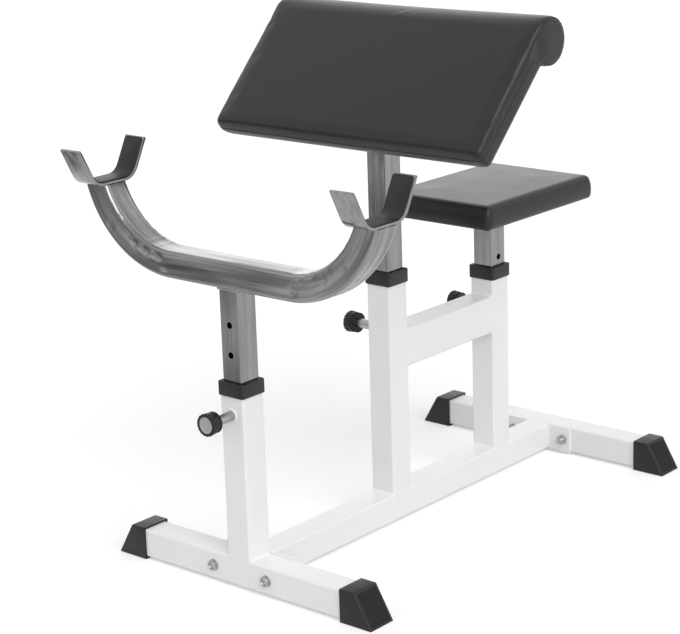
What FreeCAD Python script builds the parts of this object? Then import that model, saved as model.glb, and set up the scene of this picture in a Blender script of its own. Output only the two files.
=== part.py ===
import FreeCAD, Part
import math
import operator
import os
import Sketcher

# Preacher curl bench. Millimetres, +Z up, floor at Z = 0, X = 0 is the plane of symmetry.
# The bar rack is at the front (-Y) and the seat at the rear (+Y); the origin is the middle of the footprint.

Vector = FreeCAD.Vector
UP = Vector(0, 0, 1)

DRIVING_SIZES = {
    # white square-tube frame
    "tube_side": 50.0,
    "tube_wall": 2.0,
    "tube_corner": 4.0,
    "foot_tube_length": 488.0,
    "front_post_length": 280.0,
    "arm_post_length": 382.0,
    "seat_post_length": 327.0,
    "arm_post_offset": 376.0,
    "seat_post_offset": 676.0,
    "rear_foot_offset": 857.0,
    "cross_member_height": 70.0,
    "cross_member_drop": 30.0,
    # bolted joints of the base
    "flange_end_margin": 16.0,
    "flange_thickness": 5.0,
    "bolt_spacing": 118.0,
    "bolt_diameter": 10.0,
    "bolt_hole_clearance": 0.5,
    "bolt_head_height": 6.4,
    "bolt_across_flats": 17.0,
    "nut_height": 8.0,
    "thread_clearance": 0.05,
    "bolt_spare_length": 4.0,
    # rubber foot caps
    "cap_sole": 4.0,
    "cap_wall": 3.5,
    "cap_grip": 25.0,
    "cap_top_length": 30.0,
    "cap_bottom_length": 64.0,
    "cap_bevel": 2.0,
    "cap_rim": 6.5,
    "cap_panel_depth": 1.2,
    "cap_clearance": 0.15,
    # plastic bushes on the posts
    "bush_collar_height": 24.0,
    "bush_collar_lip": 2.75,
    "bush_sleeve_depth": 22.0,
    "bush_fit": 0.1,
    "bush_bevel": 3.0,
    "slide_clearance": 0.3,
    # bright inner tubes and their adjusting holes
    "inner_side": 42.0,
    "inner_wall": 2.0,
    "inner_corner": 3.5,
    "hole_pitch": 50.0,
    "hole_clearance": 0.5,
    "inner_tail": 40.0,
    "steps_up": 1.0,
    "rack_steps_down": 3.0,
    "arm_steps_down": 2.0,
    "seat_steps_down": 2.0,
    "rack_pin_drop": 31.0,
    "arm_pin_drop": 84.0,
    "seat_pin_drop": 60.0,
    "rack_stand": 178.0,
    "arm_stand": 330.0,
    "seat_stand": 133.5,
    # bent bar rack
    "rack_tube_depth": 50.0,
    "rack_tube_height": 46.0,
    "rack_tube_wall": 2.0,
    "rack_tube_bevel": 4.0,
    "rack_bend_radius": 170.0,
    "rack_bend_angle": 71.0,
    "rack_arm_height": 138.0,
    # bar hooks and their liners
    "hook_spacing": 580.0,
    "hook_width": 45.0,
    "hook_thickness": 5.0,
    "hook_flat": 48.0,
    "hook_bend_radius": 30.0,
    "hook_leg_angle": 63.0,
    "hook_leg_length": 52.0,
    "hook_corner": 6.0,
    "liner_thickness": 2.0,
    "liner_margin": 2.0,
    # arm pad
    "arm_pad_width": 576.0,
    "arm_pad_thickness": 42.0,
    "arm_pad_slope": 45.0,
    "arm_pad_lower_reach": 122.5,
    "arm_pad_roll_reach": 254.0,
    "arm_pad_roll_radius": 42.0,
    "arm_pad_crown": 6.0,
    "arm_pad_edge": 5.5,
    "arm_board_width": 536.0,
    "arm_board_length": 180.0,
    "arm_board_margin": 16.0,
    "arm_screws_across": 80.0,
    "arm_screws_along": 106.0,
    # seat
    "seat_width": 243.0,
    "seat_length": 330.0,
    "seat_thickness": 42.0,
    "seat_corner": 12.0,
    "seat_crown": 4.0,
    "seat_edge": 5.0,
    "seat_board_margin": 12.0,
    "seat_screws_across": 90.0,
    "seat_screws_along": 150.0,
    # what both pads share
    "board_thickness": 13.0,
    "board_proud": 0.5,
    "board_corner": 12.0,
    "pad_clearance": 0.3,
    "plate_thickness": 4.0,
    "plate_corner": 8.0,
    "plate_margin": 20.0,
    "screw_diameter": 8.0,
    "screw_length": 15.0,
    "screw_head_height": 5.3,
    "screw_across_flats": 13.0,
    # pull pins, measured outwards from the face of the post
    "pin_diameter": 10.0,
    "pin_fit": 0.05,
    "pin_tip_gap": 0.4,
    "pin_travel": 10.0,
    "stem_diameter": 6.0,
    "barrel_diameter": 17.0,
    "barrel_length": 42.0,
    "barrel_end_wall": 4.0,
    "spring_chamber": 13.4,
    "shoulder_diameter": 12.6,
    "shoulder_thickness": 3.0,
    "shoulder_gap": 2.0,
    "spring_outside": 11.0,
    "spring_inside": 8.0,
    "knob_diameter": 35.5,
    "knob_length": 21.0,
    "knob_overlap": 1.0,
    "knob_face": 7.0,
    "knob_bore_clearance": 0.9,
    "knob_ribs": 18.0,
    "knob_rib_depth": 1.0,
}

document = FreeCAD.newDocument("CurlBench")
sheet = document.addObject("Spreadsheet::Sheet", "Sizes")
for row, (alias, value) in enumerate(DRIVING_SIZES.items(), start=1):
    sheet.set(f"A{row}", alias)
    sheet.set(f"B{row}", str(value))
    sheet.setAlias(f"B{row}", alias)
document.recompute()

SIGNS = {"+": operator.add, "-": operator.sub, "*": operator.mul, "/": operator.truediv}


class Size:
    """A length, angle or count: its number, and the expression that gives it from the sheet."""

    def __init__(self, text, number):
        self.text = text
        self.number = number

    def __add__(self, other):
        return combine(self, "+", other)

    def __sub__(self, other):
        return combine(self, "-", other)

    def __rsub__(self, other):
        return combine(other, "-", self)

    def __mul__(self, other):
        return combine(self, "*", other)

    __radd__ = __add__
    __rmul__ = __mul__

    def __truediv__(self, other):
        return combine(self, "/", other)

    def __neg__(self):
        return combine(0, "-", self)


class SheetSizes:
    """The sheet's values as attributes."""

    def __getattr__(self, alias):
        return Size(f"Sizes.{alias}", float(sheet.get(alias)))


def as_size(value):
    return value if isinstance(value, Size) else Size(str(value), value)


def combine(left, sign, right):
    left = as_size(left)
    right = as_size(right)
    return Size(f"({left.text} {sign} {right.text})", SIGNS[sign](left.number, right.number))


def of_angle(function, angle):
    """The sine, cosine or tangent of an angle in degrees."""
    return Size(f"{function.__name__}({angle.text} * 1 deg)", function(math.radians(angle.number)))


S = SheetSizes()
SIXTH_TURN = as_size(60.0)

# derived lengths
tube_inside = S.tube_side - 2 * S.tube_wall
bolt_hole = S.bolt_diameter + 2 * S.bolt_hole_clearance
adjusting_hole = S.pin_diameter + 2 * S.hole_clearance
knob_back = S.barrel_length - S.knob_overlap
knob_front = knob_back + S.knob_length
plunger_tip = (S.inner_side - S.tube_side) / 2 + S.pin_tip_gap
shoulder_place = S.barrel_end_wall + S.pin_travel + S.shoulder_gap
pad_reach = S.arm_pad_thickness + S.board_proud
plate_hole = S.screw_diameter + 2 * S.bolt_hole_clearance

# bent bar rack: its arms are cut level right under the middles of the hooks
rack_cut_level = S.rack_arm_height - S.rack_tube_height / 2
rack_bend_sine = of_angle(math.sin, S.rack_bend_angle)
rack_bend_cosine = of_angle(math.cos, S.rack_bend_angle)
rack_arm_run = (rack_cut_level - S.rack_bend_radius * (1 - rack_bend_cosine)) / rack_bend_sine
rack_arm_reach = S.rack_bend_radius * rack_bend_sine + rack_arm_run * rack_bend_cosine
rack_half_flat = S.hook_spacing / 2 - rack_arm_reach

# heights above the floor
foot_top = S.cap_sole + S.tube_side
front_post_top = foot_top + S.front_post_length
arm_post_top = foot_top + S.arm_post_length
seat_post_top = foot_top + S.seat_post_length
rack_base = front_post_top + S.rack_stand
arm_mount = arm_post_top + S.arm_stand
seat_mount = seat_post_top + S.seat_stand
cross_member_top = seat_post_top - S.cross_member_drop

# lines across the bench; the foremost knob and the rearmost bolt heads are equally far from Y = 0
front_line = (knob_front - S.rear_foot_offset - S.bolt_head_height) / 2
arm_line = front_line + S.arm_post_offset
seat_line = front_line + S.seat_post_offset
rear_line = front_line + S.rear_foot_offset

parts = []


def point(*coordinates):
    return Vector(*(as_size(value).number for value in coordinates))


def place(part, x, y, z, axis=UP, degrees=0.0):
    """Put a part at a point, turned about an axis."""
    part.Placement = FreeCAD.Placement(point(x, y, z), FreeCAD.Rotation(axis, degrees))


def keep(part, label):
    part.Label = label
    parts.append(part)
    return part


def new_body(name):
    return document.addObject("PartDesign::Body", name)


def new_sketch(body, plane, height=None):
    """A sketch on one of the body's own planes, or at a height over it."""
    sketch = body.newObject("Sketcher::SketchObject", "Outline")
    support = next(feature for feature in body.Origin.OriginFeatures if feature.Role == plane)
    sketch.AttachmentSupport = (support, [""])
    sketch.MapMode = "FlatFace"
    if height is not None:
        sketch.setExpression("AttachmentOffset.Base.z", height.text)
    return sketch


def dimension(sketch, kind, *places, size):
    index = sketch.addConstraint(Sketcher.Constraint(kind, *places, size.number))
    sketch.setExpression(f"Constraints[{index}]", size.text)


def pin_point(sketch, geometry, end, x, y):
    """Hold a point of the sketch at a distance from its origin along both axes."""
    for kind, axis, value in (("DistanceX", -2, as_size(x)), ("DistanceY", -1, as_size(y))):
        if abs(value.number) < 1e-9:
            sketch.addConstraint(Sketcher.Constraint("PointOnObject", geometry, end, axis))
        elif value.number > 0:
            dimension(sketch, kind, -1, 1, geometry, end, size=value)
        else:
            dimension(sketch, kind, geometry, end, -1, 1, size=-value)


def polygon(sketch, corners):
    """A closed outline of straight sides through the corners."""
    first = sketch.GeometryCount
    count = len(corners)
    spots = [point(x, y, 0) for x, y in corners]
    for index in range(count):
        sketch.addGeometry(Part.LineSegment(spots[index], spots[(index + 1) % count]))
    for index in range(count):
        following = first + (index + 1) % count
        sketch.addConstraint(Sketcher.Constraint("Coincident", first + index, 2, following, 1))
    for index, (x, y) in enumerate(corners):
        pin_point(sketch, first + index, 1, x, y)


def rectangle(sketch, width, height, middle=0):
    polygon(sketch, [
        (-width / 2, middle - height / 2),
        (width / 2, middle - height / 2),
        (width / 2, middle + height / 2),
        (-width / 2, middle + height / 2),
    ])


def bevelled_rectangle(sketch, width, height, bevel):
    across = width / 2
    along = height / 2
    polygon(sketch, [
        (across, along - bevel), (across - bevel, along), (bevel - across, along), (-across, along - bevel),
        (-across, bevel - along), (bevel - across, -along), (across - bevel, -along), (across, bevel - along),
    ])


def rounded_rectangle(sketch, width, height, radius, middle=0):
    """Four sides and four corner arcs, centred on the sketch's vertical axis at a height."""
    first = sketch.GeometryCount
    across = (width / 2 - radius).number
    along = (height / 2 - radius).number
    centre = as_size(middle).number
    bend = radius.number
    middles = ((across, along), (-across, along), (-across, -along), (across, -along))
    for quarter, (x, y) in enumerate(middles):
        start = quarter * math.pi / 2
        circle = Part.Circle(Vector(x, y + centre, 0), UP, bend)
        sketch.addGeometry(Part.ArcOfCircle(circle, start, start + math.pi / 2))
    sides = (
        (Vector(across, centre + along + bend, 0), Vector(-across, centre + along + bend, 0)),
        (Vector(-across - bend, centre + along, 0), Vector(-across - bend, centre - along, 0)),
        (Vector(-across, centre - along - bend, 0), Vector(across, centre - along - bend, 0)),
        (Vector(across + bend, centre - along, 0), Vector(across + bend, centre + along, 0)),
    )
    for index, (start, end) in enumerate(sides):
        side = sketch.addGeometry(Part.LineSegment(start, end))
        sketch.addConstraint(Sketcher.Constraint("Tangent", first + index, 2, side, 1))
        sketch.addConstraint(Sketcher.Constraint("Tangent", side, 2, first + (index + 1) % 4, 1))
        sketch.addConstraint(Sketcher.Constraint("Horizontal" if index % 2 == 0 else "Vertical", side))
    for corner in range(1, 4):
        sketch.addConstraint(Sketcher.Constraint("Equal", first, first + corner))
    dimension(sketch, "Radius", first, size=radius)
    pin_point(sketch, first, 3, width / 2 - radius, middle + height / 2 - radius)
    pin_point(sketch, first + 2, 3, radius - width / 2, middle - height / 2 + radius)


def circle(sketch, x, y, diameter):
    index = sketch.addGeometry(Part.Circle(point(x, y, 0), UP, diameter.number / 2))
    dimension(sketch, "Diameter", index, size=diameter)
    pin_point(sketch, index, 3, x, y)


def corner_circles(sketch, across, along, diameter):
    for x in (-across / 2, across / 2):
        for y in (-along / 2, along / 2):
            circle(sketch, x, y, diameter)


def hexagon(sketch, across_flats):
    """A hexagon with two flats across the sketch's vertical axis."""
    half = across_flats / 2
    third = half * of_angle(math.tan, SIXTH_TURN / 2)
    polygon(sketch, [
        (2 * third, 0), (third, half), (-third, half), (-2 * third, 0), (-third, -half), (third, -half),
    ])


def pad(body, sketch, length, side="One side", downwards=False):
    feature = body.newObject("PartDesign::Pad", "Pad")
    feature.Profile = sketch
    feature.SideType = side
    feature.Reversed = downwards
    feature.setExpression("Length", length.text)
    return feature


def cut_through(body, sketch):
    """Cut the outline out of the whole body, to both sides of the sketch."""
    feature = body.newObject("PartDesign::Pocket", "Cut")
    feature.Profile = sketch
    feature.Type = "ThroughAll"
    feature.Type2 = "ThroughAll"
    feature.SideType = "Symmetric"
    return feature


def cut(body, sketch, depth, other_way=False, side="One side"):
    feature = body.newObject("PartDesign::Pocket", "Recess")
    feature.Profile = sketch
    feature.SideType = side
    feature.Reversed = other_way
    feature.setExpression("Length", depth.text)
    return feature


def chosen_edges(body, chosen):
    """The body's last feature and the names of its edges that the test picks."""
    document.recompute()
    base = body.Tip
    names = [f"Edge{number}" for number, edge in enumerate(base.Shape.Edges, start=1) if chosen(edge)]
    return base, names


def round_edges(body, radius, chosen):
    picked = chosen_edges(body, chosen)
    feature = body.newObject("PartDesign::Fillet", "Rounding")
    feature.Base = picked
    feature.setExpression("Radius", radius.text)


def bevel_edges(body, size, chosen):
    picked = chosen_edges(body, chosen)
    feature = body.newObject("PartDesign::Chamfer", "Bevel")
    feature.Base = picked
    feature.setExpression("Size", size.text)


def mirror(body, features, plane):
    feature = body.newObject("PartDesign::Mirrored", "Mirrored")
    feature.Originals = features
    support = next(item for item in body.Origin.OriginFeatures if item.Role == plane)
    feature.MirrorPlane = (support, [""])
    body.Tip = feature
    return feature


def turned(label, outline):
    """A turned piece about its own Z axis, from an outline of radius and height."""
    body = new_body(label)
    sketch = new_sketch(body, "XZ_Plane")
    polygon(sketch, outline)
    feature = body.newObject("PartDesign::Revolution", "Turned")
    feature.Profile = sketch
    feature.ReferenceAxis = (sketch, ["V_Axis"])
    return body


def group(label, pattern, places):
    """Several loose copies of one piece, as one node."""
    document.recompute()
    copies = []
    for place_of_copy in places:
        copy = pattern.Shape.copy()
        copy.Placement = place_of_copy
        copies.append(copy)
    part = document.addObject("Part::Feature", label)
    part.Shape = Part.makeCompound(copies)
    return keep(part, label)


def square_tube(name, width, height, wall, corner, length, side="One side"):
    """A hollow tube along its own Z axis, rounded outside."""
    body = new_body(name)
    sketch = new_sketch(body, "XY_Plane")
    rounded_rectangle(sketch, width, height, corner)
    rectangle(sketch, width - 2 * wall, height - 2 * wall)
    pad(body, sketch, length, side)
    return body


def frame_tube(name, length, side="One side", height=S.tube_side):
    return square_tube(name, S.tube_side, height, S.tube_wall, S.tube_corner, length, side)


def foot_tube(label, line):
    body = frame_tube(label, S.foot_tube_length, "Symmetric")
    sketch = new_sketch(body, "XZ_Plane")
    for x in (-S.bolt_spacing / 2, S.bolt_spacing / 2):
        circle(sketch, 0, x, bolt_hole)
    cut_through(body, sketch)
    place(body, 0, line, S.cap_sole + S.tube_side / 2, Vector(0, 1, 0), 90)
    keep(body, label)


def post(label, line, length, pin_drop, pin_plane, other_way):
    """An upright with the hole that its pull pin works through."""
    body = frame_tube(label, length)
    sketch = new_sketch(body, pin_plane)
    circle(sketch, 0, length - pin_drop, adjusting_hole)
    cut(body, sketch, S.tube_side, other_way)
    place(body, 0, line, foot_top)
    keep(body, label)


def base_beam():
    length = S.rear_foot_offset - S.tube_side - 2 * S.flange_thickness
    body = frame_tube("base_beam", length)
    start = front_line + S.tube_side / 2 + S.flange_thickness
    place(body, 0, start, S.cap_sole + S.tube_side / 2, Vector(1, 0, 0), -90)
    keep(body, "base_beam")


def beam_flange(label, face):
    """End plate of the beam, standing upright from the face of a foot tube towards +Y."""
    body = new_body(label)
    sketch = new_sketch(body, "XZ_Plane")
    rectangle(sketch, S.bolt_spacing + 2 * S.flange_end_margin, S.tube_side)
    for x in (-S.bolt_spacing / 2, S.bolt_spacing / 2):
        circle(sketch, x, 0, bolt_hole)
    pad(body, sketch, S.flange_thickness, downwards=True)
    place(body, 0, face, S.cap_sole + S.tube_side / 2)
    keep(body, label)


def post_cross_member():
    length = S.seat_post_offset - S.arm_post_offset - S.tube_side
    body = frame_tube("post_cross_member", length, height=S.cross_member_height)
    middle = cross_member_top - S.cross_member_height / 2
    place(body, 0, arm_line + S.tube_side / 2, middle, Vector(1, 0, 0), -90)
    keep(body, "post_cross_member")


def foot_cap(label, line, degrees):
    """Rubber end cap: slanted, framed outer face, sole under the tube, pocket over the tube's end."""
    body = new_body(label)
    height = foot_top + S.cap_wall
    sketch = new_sketch(body, "XZ_Plane")
    polygon(sketch, [(0, 0), (S.cap_bottom_length, 0), (S.cap_top_length, height), (0, height)])
    pad(body, sketch, S.tube_side + 2 * S.cap_wall, "Symmetric")
    bevel_edges(body, S.cap_bevel, lambda edge: edge.BoundBox.XMax > 1e-6)
    pocket = new_sketch(body, "YZ_Plane")
    opening = S.tube_side + 2 * S.cap_clearance
    rectangle(pocket, opening, opening, S.cap_sole + S.tube_side / 2)
    cut(body, pocket, S.cap_grip + S.cap_clearance, other_way=True)
    panel = new_sketch(body, "XZ_Plane")
    lean = (S.cap_bottom_length - S.cap_top_length) / height
    low = S.cap_rim
    high = height - S.cap_rim
    floor_low = S.cap_bottom_length - lean * low - S.cap_panel_depth
    floor_high = S.cap_bottom_length - lean * high - S.cap_panel_depth
    past = 2 * S.cap_panel_depth
    polygon(panel, [(floor_low, low), (floor_low + past, low), (floor_high + past, high), (floor_high, high)])
    cut(body, panel, S.tube_side + 2 * (S.cap_wall - S.cap_rim), side="Symmetric")
    reach = S.foot_tube_length / 2 - S.cap_grip
    place(body, reach if degrees == 0 else -reach, line, 0, UP, degrees)
    keep(body, label)


def post_bush(label, line, top):
    """Plastic bush: a collar on the post's end and a sleeve inside it, round the inner tube."""
    body = new_body(label)
    opening = S.inner_side + 2 * S.slide_clearance
    outside = S.tube_side + 2 * S.bush_collar_lip
    sleeve_side = tube_inside - 2 * S.bush_fit
    collar = new_sketch(body, "XY_Plane")
    bevelled_rectangle(collar, outside, outside, S.bush_bevel)
    pad(body, collar, S.bush_collar_height)
    bevel_edges(body, S.bush_bevel / 2, lambda edge: edge.BoundBox.ZMin > 1e-6)
    sleeve = new_sketch(body, "XY_Plane")
    rectangle(sleeve, sleeve_side, sleeve_side)
    pad(body, sleeve, S.bush_sleeve_depth, downwards=True)
    bore = new_sketch(body, "XY_Plane")
    bevelled_rectangle(bore, opening, opening, (2 - math.sqrt(2)) * S.inner_corner)
    cut_through(body, bore)
    place(body, 0, line, top)
    keep(body, label)


def hex_bolt(name, diameter, across_flats, head, length):
    """Hexagon bolt: underside of the head at Z = 0, shank towards -Z."""
    body = new_body(name)
    top = new_sketch(body, "XY_Plane")
    hexagon(top, across_flats)
    pad(body, top, head)
    shank = new_sketch(body, "XY_Plane")
    circle(shank, 0, 0, diameter)
    pad(body, shank, length, downwards=True)
    return body


def base_fasteners():
    """Bolt heads on the outer sides of the foot tubes, nuts on the flanges."""
    length = S.tube_side + S.flange_thickness + S.nut_height + S.bolt_spare_length
    bolt = hex_bolt("BaseBolt", S.bolt_diameter, S.bolt_across_flats, S.bolt_head_height, length)
    nut = new_body("BaseNut")
    outline = new_sketch(nut, "XY_Plane")
    hexagon(outline, S.bolt_across_flats)
    circle(outline, 0, 0, S.bolt_diameter + 2 * S.thread_clearance)
    pad(nut, outline, S.nut_height)
    height = S.cap_sole + S.tube_side / 2
    bolt_places = []
    nut_places = []
    for x in (-S.bolt_spacing / 2, S.bolt_spacing / 2):
        for line, outwards in ((front_line, -1), (rear_line, 1)):
            turn = FreeCAD.Rotation(UP, Vector(0, outwards, 0))
            head = line + outwards * S.tube_side / 2
            nut_end = line - outwards * (S.tube_side / 2 + S.flange_thickness + S.nut_height)
            bolt_places.append(FreeCAD.Placement(point(x, head, height), turn))
            nut_places.append(FreeCAD.Placement(point(x, nut_end, height), turn))
    group("base_bolts", bolt, bolt_places)
    group("base_nuts", nut, nut_places)


def adjusting_holes(body, plane, first_height, count, front_only):
    """A row of holes in an inner tube, through both walls or in the front one only."""
    sketch = new_sketch(body, plane)
    circle(sketch, 0, first_height, adjusting_hole)
    hole = cut(body, sketch, S.inner_side, True) if front_only else cut_through(body, sketch)
    document.recompute()
    hole_row = body.newObject("PartDesign::LinearPattern", "HoleRow")
    hole_row.Originals = [hole]
    axis = next(item for item in body.Origin.OriginFeatures if item.Role == "Z_Axis")
    hole_row.Direction = (axis, [""])
    hole_row.setExpression("Length", ((count - 1) * S.hole_pitch).text)
    hole_row.setExpression("Occurrences", count.text)
    body.Tip = hole_row


def inner_tube(label, line, pin_height, top, steps_down, plane, front_only=False):
    """Bright sliding tube, from below its lowest hole up to what it carries."""
    bottom = pin_height - S.steps_up * S.hole_pitch - S.inner_tail
    body = square_tube(label, S.inner_side, S.inner_side, S.inner_wall, S.inner_corner, top - bottom)
    adjusting_holes(body, plane, S.inner_tail, S.steps_up + steps_down + 1, front_only)
    place(body, 0, line, bottom)
    keep(body, label)
    return body


def bend_path(sketch, half_flat, radius, angle, leg):
    """Half of a bent path: flat from the origin, one bend upwards, a straight leg."""
    turn = math.radians(angle.number)
    flat = half_flat.number
    bend = radius.number
    middle = Vector(flat, bend, 0)
    bend_end = Vector(flat + bend * math.sin(turn), bend - bend * math.cos(turn), 0)
    leg_end = bend_end + Vector(math.cos(turn), math.sin(turn), 0) * leg.number
    sketch.addGeometry(Part.LineSegment(Vector(0, 0, 0), Vector(flat, 0, 0)))
    arc = Part.Circle(middle, UP, bend)
    sketch.addGeometry(Part.ArcOfCircle(arc, -math.pi / 2, turn - math.pi / 2))
    sketch.addGeometry(Part.LineSegment(bend_end, leg_end))
    sketch.addConstraint(Sketcher.Constraint("Coincident", 0, 1, -1, 1))
    sketch.addConstraint(Sketcher.Constraint("Horizontal", 0))
    sketch.addConstraint(Sketcher.Constraint("Tangent", 0, 2, 1, 1))
    sketch.addConstraint(Sketcher.Constraint("Tangent", 1, 2, 2, 1))
    dimension(sketch, "DistanceX", 0, 1, 0, 2, size=half_flat)
    dimension(sketch, "Radius", 1, size=radius)
    dimension(sketch, "Distance", 2, size=leg)
    slope = sketch.addConstraint(Sketcher.Constraint("Angle", -1, 1, 2, 1, turn))
    sketch.setExpression(f"Constraints[{slope}]", f"{angle.text} * 1 deg")


def sweep(body, kind, profile, spine):
    feature = body.newObject(f"PartDesign::{kind}", kind)
    feature.Profile = profile
    feature.Spine = (spine, ["Edge1", "Edge2", "Edge3"])
    return feature


def rack_u_tube():
    """The wide U that carries the hooks: one tube, bent up on both sides, arm ends cut level."""
    body = new_body("rack_u_tube")
    half_height = S.rack_tube_height / 2
    spine = new_sketch(body, "XZ_Plane")
    bend_path(
        spine, rack_half_flat, S.rack_bend_radius, S.rack_bend_angle, rack_arm_run + S.rack_tube_height)
    outside = new_sketch(body, "YZ_Plane")
    bevelled_rectangle(outside, S.rack_tube_depth, S.rack_tube_height, S.rack_tube_bevel)
    skin = sweep(body, "AdditivePipe", outside, spine)
    inside = new_sketch(body, "YZ_Plane")
    wall = S.rack_tube_wall
    inside_bevel = S.rack_tube_bevel - (2 - math.sqrt(2)) * wall
    bevelled_rectangle(inside, S.rack_tube_depth - 2 * wall, S.rack_tube_height - 2 * wall, inside_bevel)
    hollow = sweep(body, "SubtractivePipe", inside, spine)
    ends = new_sketch(body, "XZ_Plane")
    reach = S.hook_spacing
    level = rack_cut_level
    polygon(ends, [(0, level), (reach, level), (reach, level + reach), (0, level + reach)])
    trim = cut_through(body, ends)
    document.recompute()
    mirror(body, [skin, hollow, trim], "YZ_Plane")
    place(body, 0, front_line, rack_base + half_height)
    keep(body, "rack_u_tube")


def bent_strip(label, width, thickness, half_flat, radius, leg):
    """A flat strip bent up at both ends, across the bench; its middle line starts at the origin."""
    body = new_body(label)
    spine = new_sketch(body, "YZ_Plane")
    bend_path(spine, half_flat, radius, S.hook_leg_angle, leg)
    section = new_sketch(body, "XZ_Plane")
    rectangle(section, width, thickness)
    half = sweep(body, "AdditivePipe", section, spine)
    document.recompute()
    mirror(body, [half], "XZ_Plane")
    return body


def bar_hook(side, x):
    level = rack_base + S.rack_arm_height
    hook = bent_strip(
        f"bar_hook_{side}", S.hook_width, S.hook_thickness, S.hook_flat / 2, S.hook_bend_radius,
        S.hook_leg_length)
    short = S.hook_thickness.number * 1.01
    lowest = S.hook_bend_radius.number
    round_edges(hook, S.hook_corner, lambda edge: edge.Length < short and edge.CenterOfMass.z > lowest)
    place(hook, x, front_line, level + S.hook_thickness / 2)
    keep(hook, f"bar_hook_{side}")
    step = (S.hook_thickness + S.liner_thickness) / 2
    liner = bent_strip(
        f"bar_hook_liner_{side}", S.hook_width - 2 * S.liner_margin, S.liner_thickness, S.hook_flat / 2,
        S.hook_bend_radius - step, S.hook_leg_length - S.liner_margin)
    place(liner, x, front_line, level + S.hook_thickness + S.liner_thickness / 2)
    keep(liner, f"bar_hook_liner_{side}")


def mount_plate(name, across, along):
    """Steel plate under a board, drilled for its screws a margin in from its edges."""
    body = new_body(name)
    sketch = new_sketch(body, "XY_Plane")
    margins = 2 * S.plate_margin
    bevelled_rectangle(sketch, across + margins, along + margins, S.plate_corner)
    corner_circles(sketch, across, along, plate_hole)
    pad(body, sketch, S.plate_thickness)
    return body


def pad_board(name, width, length, across, along, shift):
    """Plywood board, underside at Z = 0, drilled for its screws and shifted along Y from them."""
    body = new_body(name)
    sketch = new_sketch(body, "XY_Plane")
    rounded_rectangle(sketch, width, length, S.board_corner, shift)
    pad(body, sketch, S.board_thickness)
    holes = new_sketch(body, "XY_Plane")
    corner_circles(holes, across, along, S.screw_diameter + 2 * S.thread_clearance)
    cut(body, holes, S.screw_length - S.plate_thickness + S.thread_clearance, other_way=True)
    return body


def pad_screws(label, across, along, board_place):
    """Screws up through the plate into the board, at the corners of their pattern."""
    screw = hex_bolt("Screw", S.screw_diameter, S.screw_across_flats, S.screw_head_height, S.screw_length)
    down = FreeCAD.Rotation(Vector(1, 0, 0), 180)
    places = []
    for x in (-across / 2, across / 2):
        for y in (-along / 2, along / 2):
            spot = FreeCAD.Placement(point(x, y, -S.plate_thickness), down)
            places.append(board_place.multiply(spot))
    group(label, screw, places)


def cushion_profile(x, inset, crown):
    """Section of the arm pad at x: slab from its lower end, crowned top, roll curled under at the far end."""
    thickness = S.arm_pad_thickness.number
    edge = S.arm_pad_edge.number
    far = S.arm_pad_roll_reach.number
    roll = S.arm_pad_roll_radius.number - inset
    roll_height = S.arm_pad_crown.number - S.arm_pad_roll_radius.number
    top = -inset
    under = inset - thickness
    meet = far - math.sqrt(roll ** 2 - (under - roll_height) ** 2)

    def spot(along, height):
        return Vector(x, along, height)

    def roll_spot(degrees):
        turn = math.radians(degrees)
        return spot(far + roll * math.sin(turn), roll_height + roll * math.cos(turn))

    meet_turn = 360 - math.degrees(math.atan2(far - meet, under - roll_height))
    top_middle = spot((edge + far) / 2, (top + roll_height + roll) / 2 + crown)
    edges = [
        Part.Arc(spot(inset + edge, under), spot(inset, -thickness / 2), spot(inset + edge, top)),
        Part.Arc(spot(inset + edge, top), top_middle, roll_spot(0)),
        Part.Arc(roll_spot(0), roll_spot(50), roll_spot(100)),
        Part.Arc(roll_spot(100), roll_spot((100 + meet_turn) / 2), roll_spot(meet_turn)),
        Part.LineSegment(roll_spot(meet_turn), spot(inset + edge, under)),
    ]
    return Part.Wire([edge_curve.toShape() for edge_curve in edges])


def arm_pad_cushion(local):
    """Foam and vinyl of the arm pad, lofted across the bench, with a recess for its board."""
    half = S.arm_pad_width.number / 2
    edge = S.arm_pad_edge.number
    crown = S.arm_pad_crown.number
    ends = ((0, edge, 0), (edge / 3, edge / 3, 0), (edge, edge / 12, crown / 6), (3 * edge, 0, crown / 3))
    sections = [(half - step, inset, rise) for step, inset, rise in ends]
    stations = [(-x, inset, rise) for x, inset, rise in sections]
    stations.append((0, 0, crown / 2))
    stations.extend(reversed(sections))
    solid = Part.makeLoft([cushion_profile(*station) for station in stations], True, True)
    gap = S.pad_clearance.number
    width = S.arm_board_width.number + 2 * gap
    length = S.arm_board_length.number + 2 * gap
    depth = S.board_thickness.number - S.board_proud.number + gap
    corner = Vector(-width / 2, S.arm_board_margin.number - gap, -S.arm_pad_thickness.number - 1)
    recess = Part.makeBox(width, length, depth + 1, corner)
    part = document.addObject("Part::Feature", "arm_pad_cushion")
    part.Shape = solid.cut(recess)
    part.Placement = local
    keep(part, "arm_pad_cushion")


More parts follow.
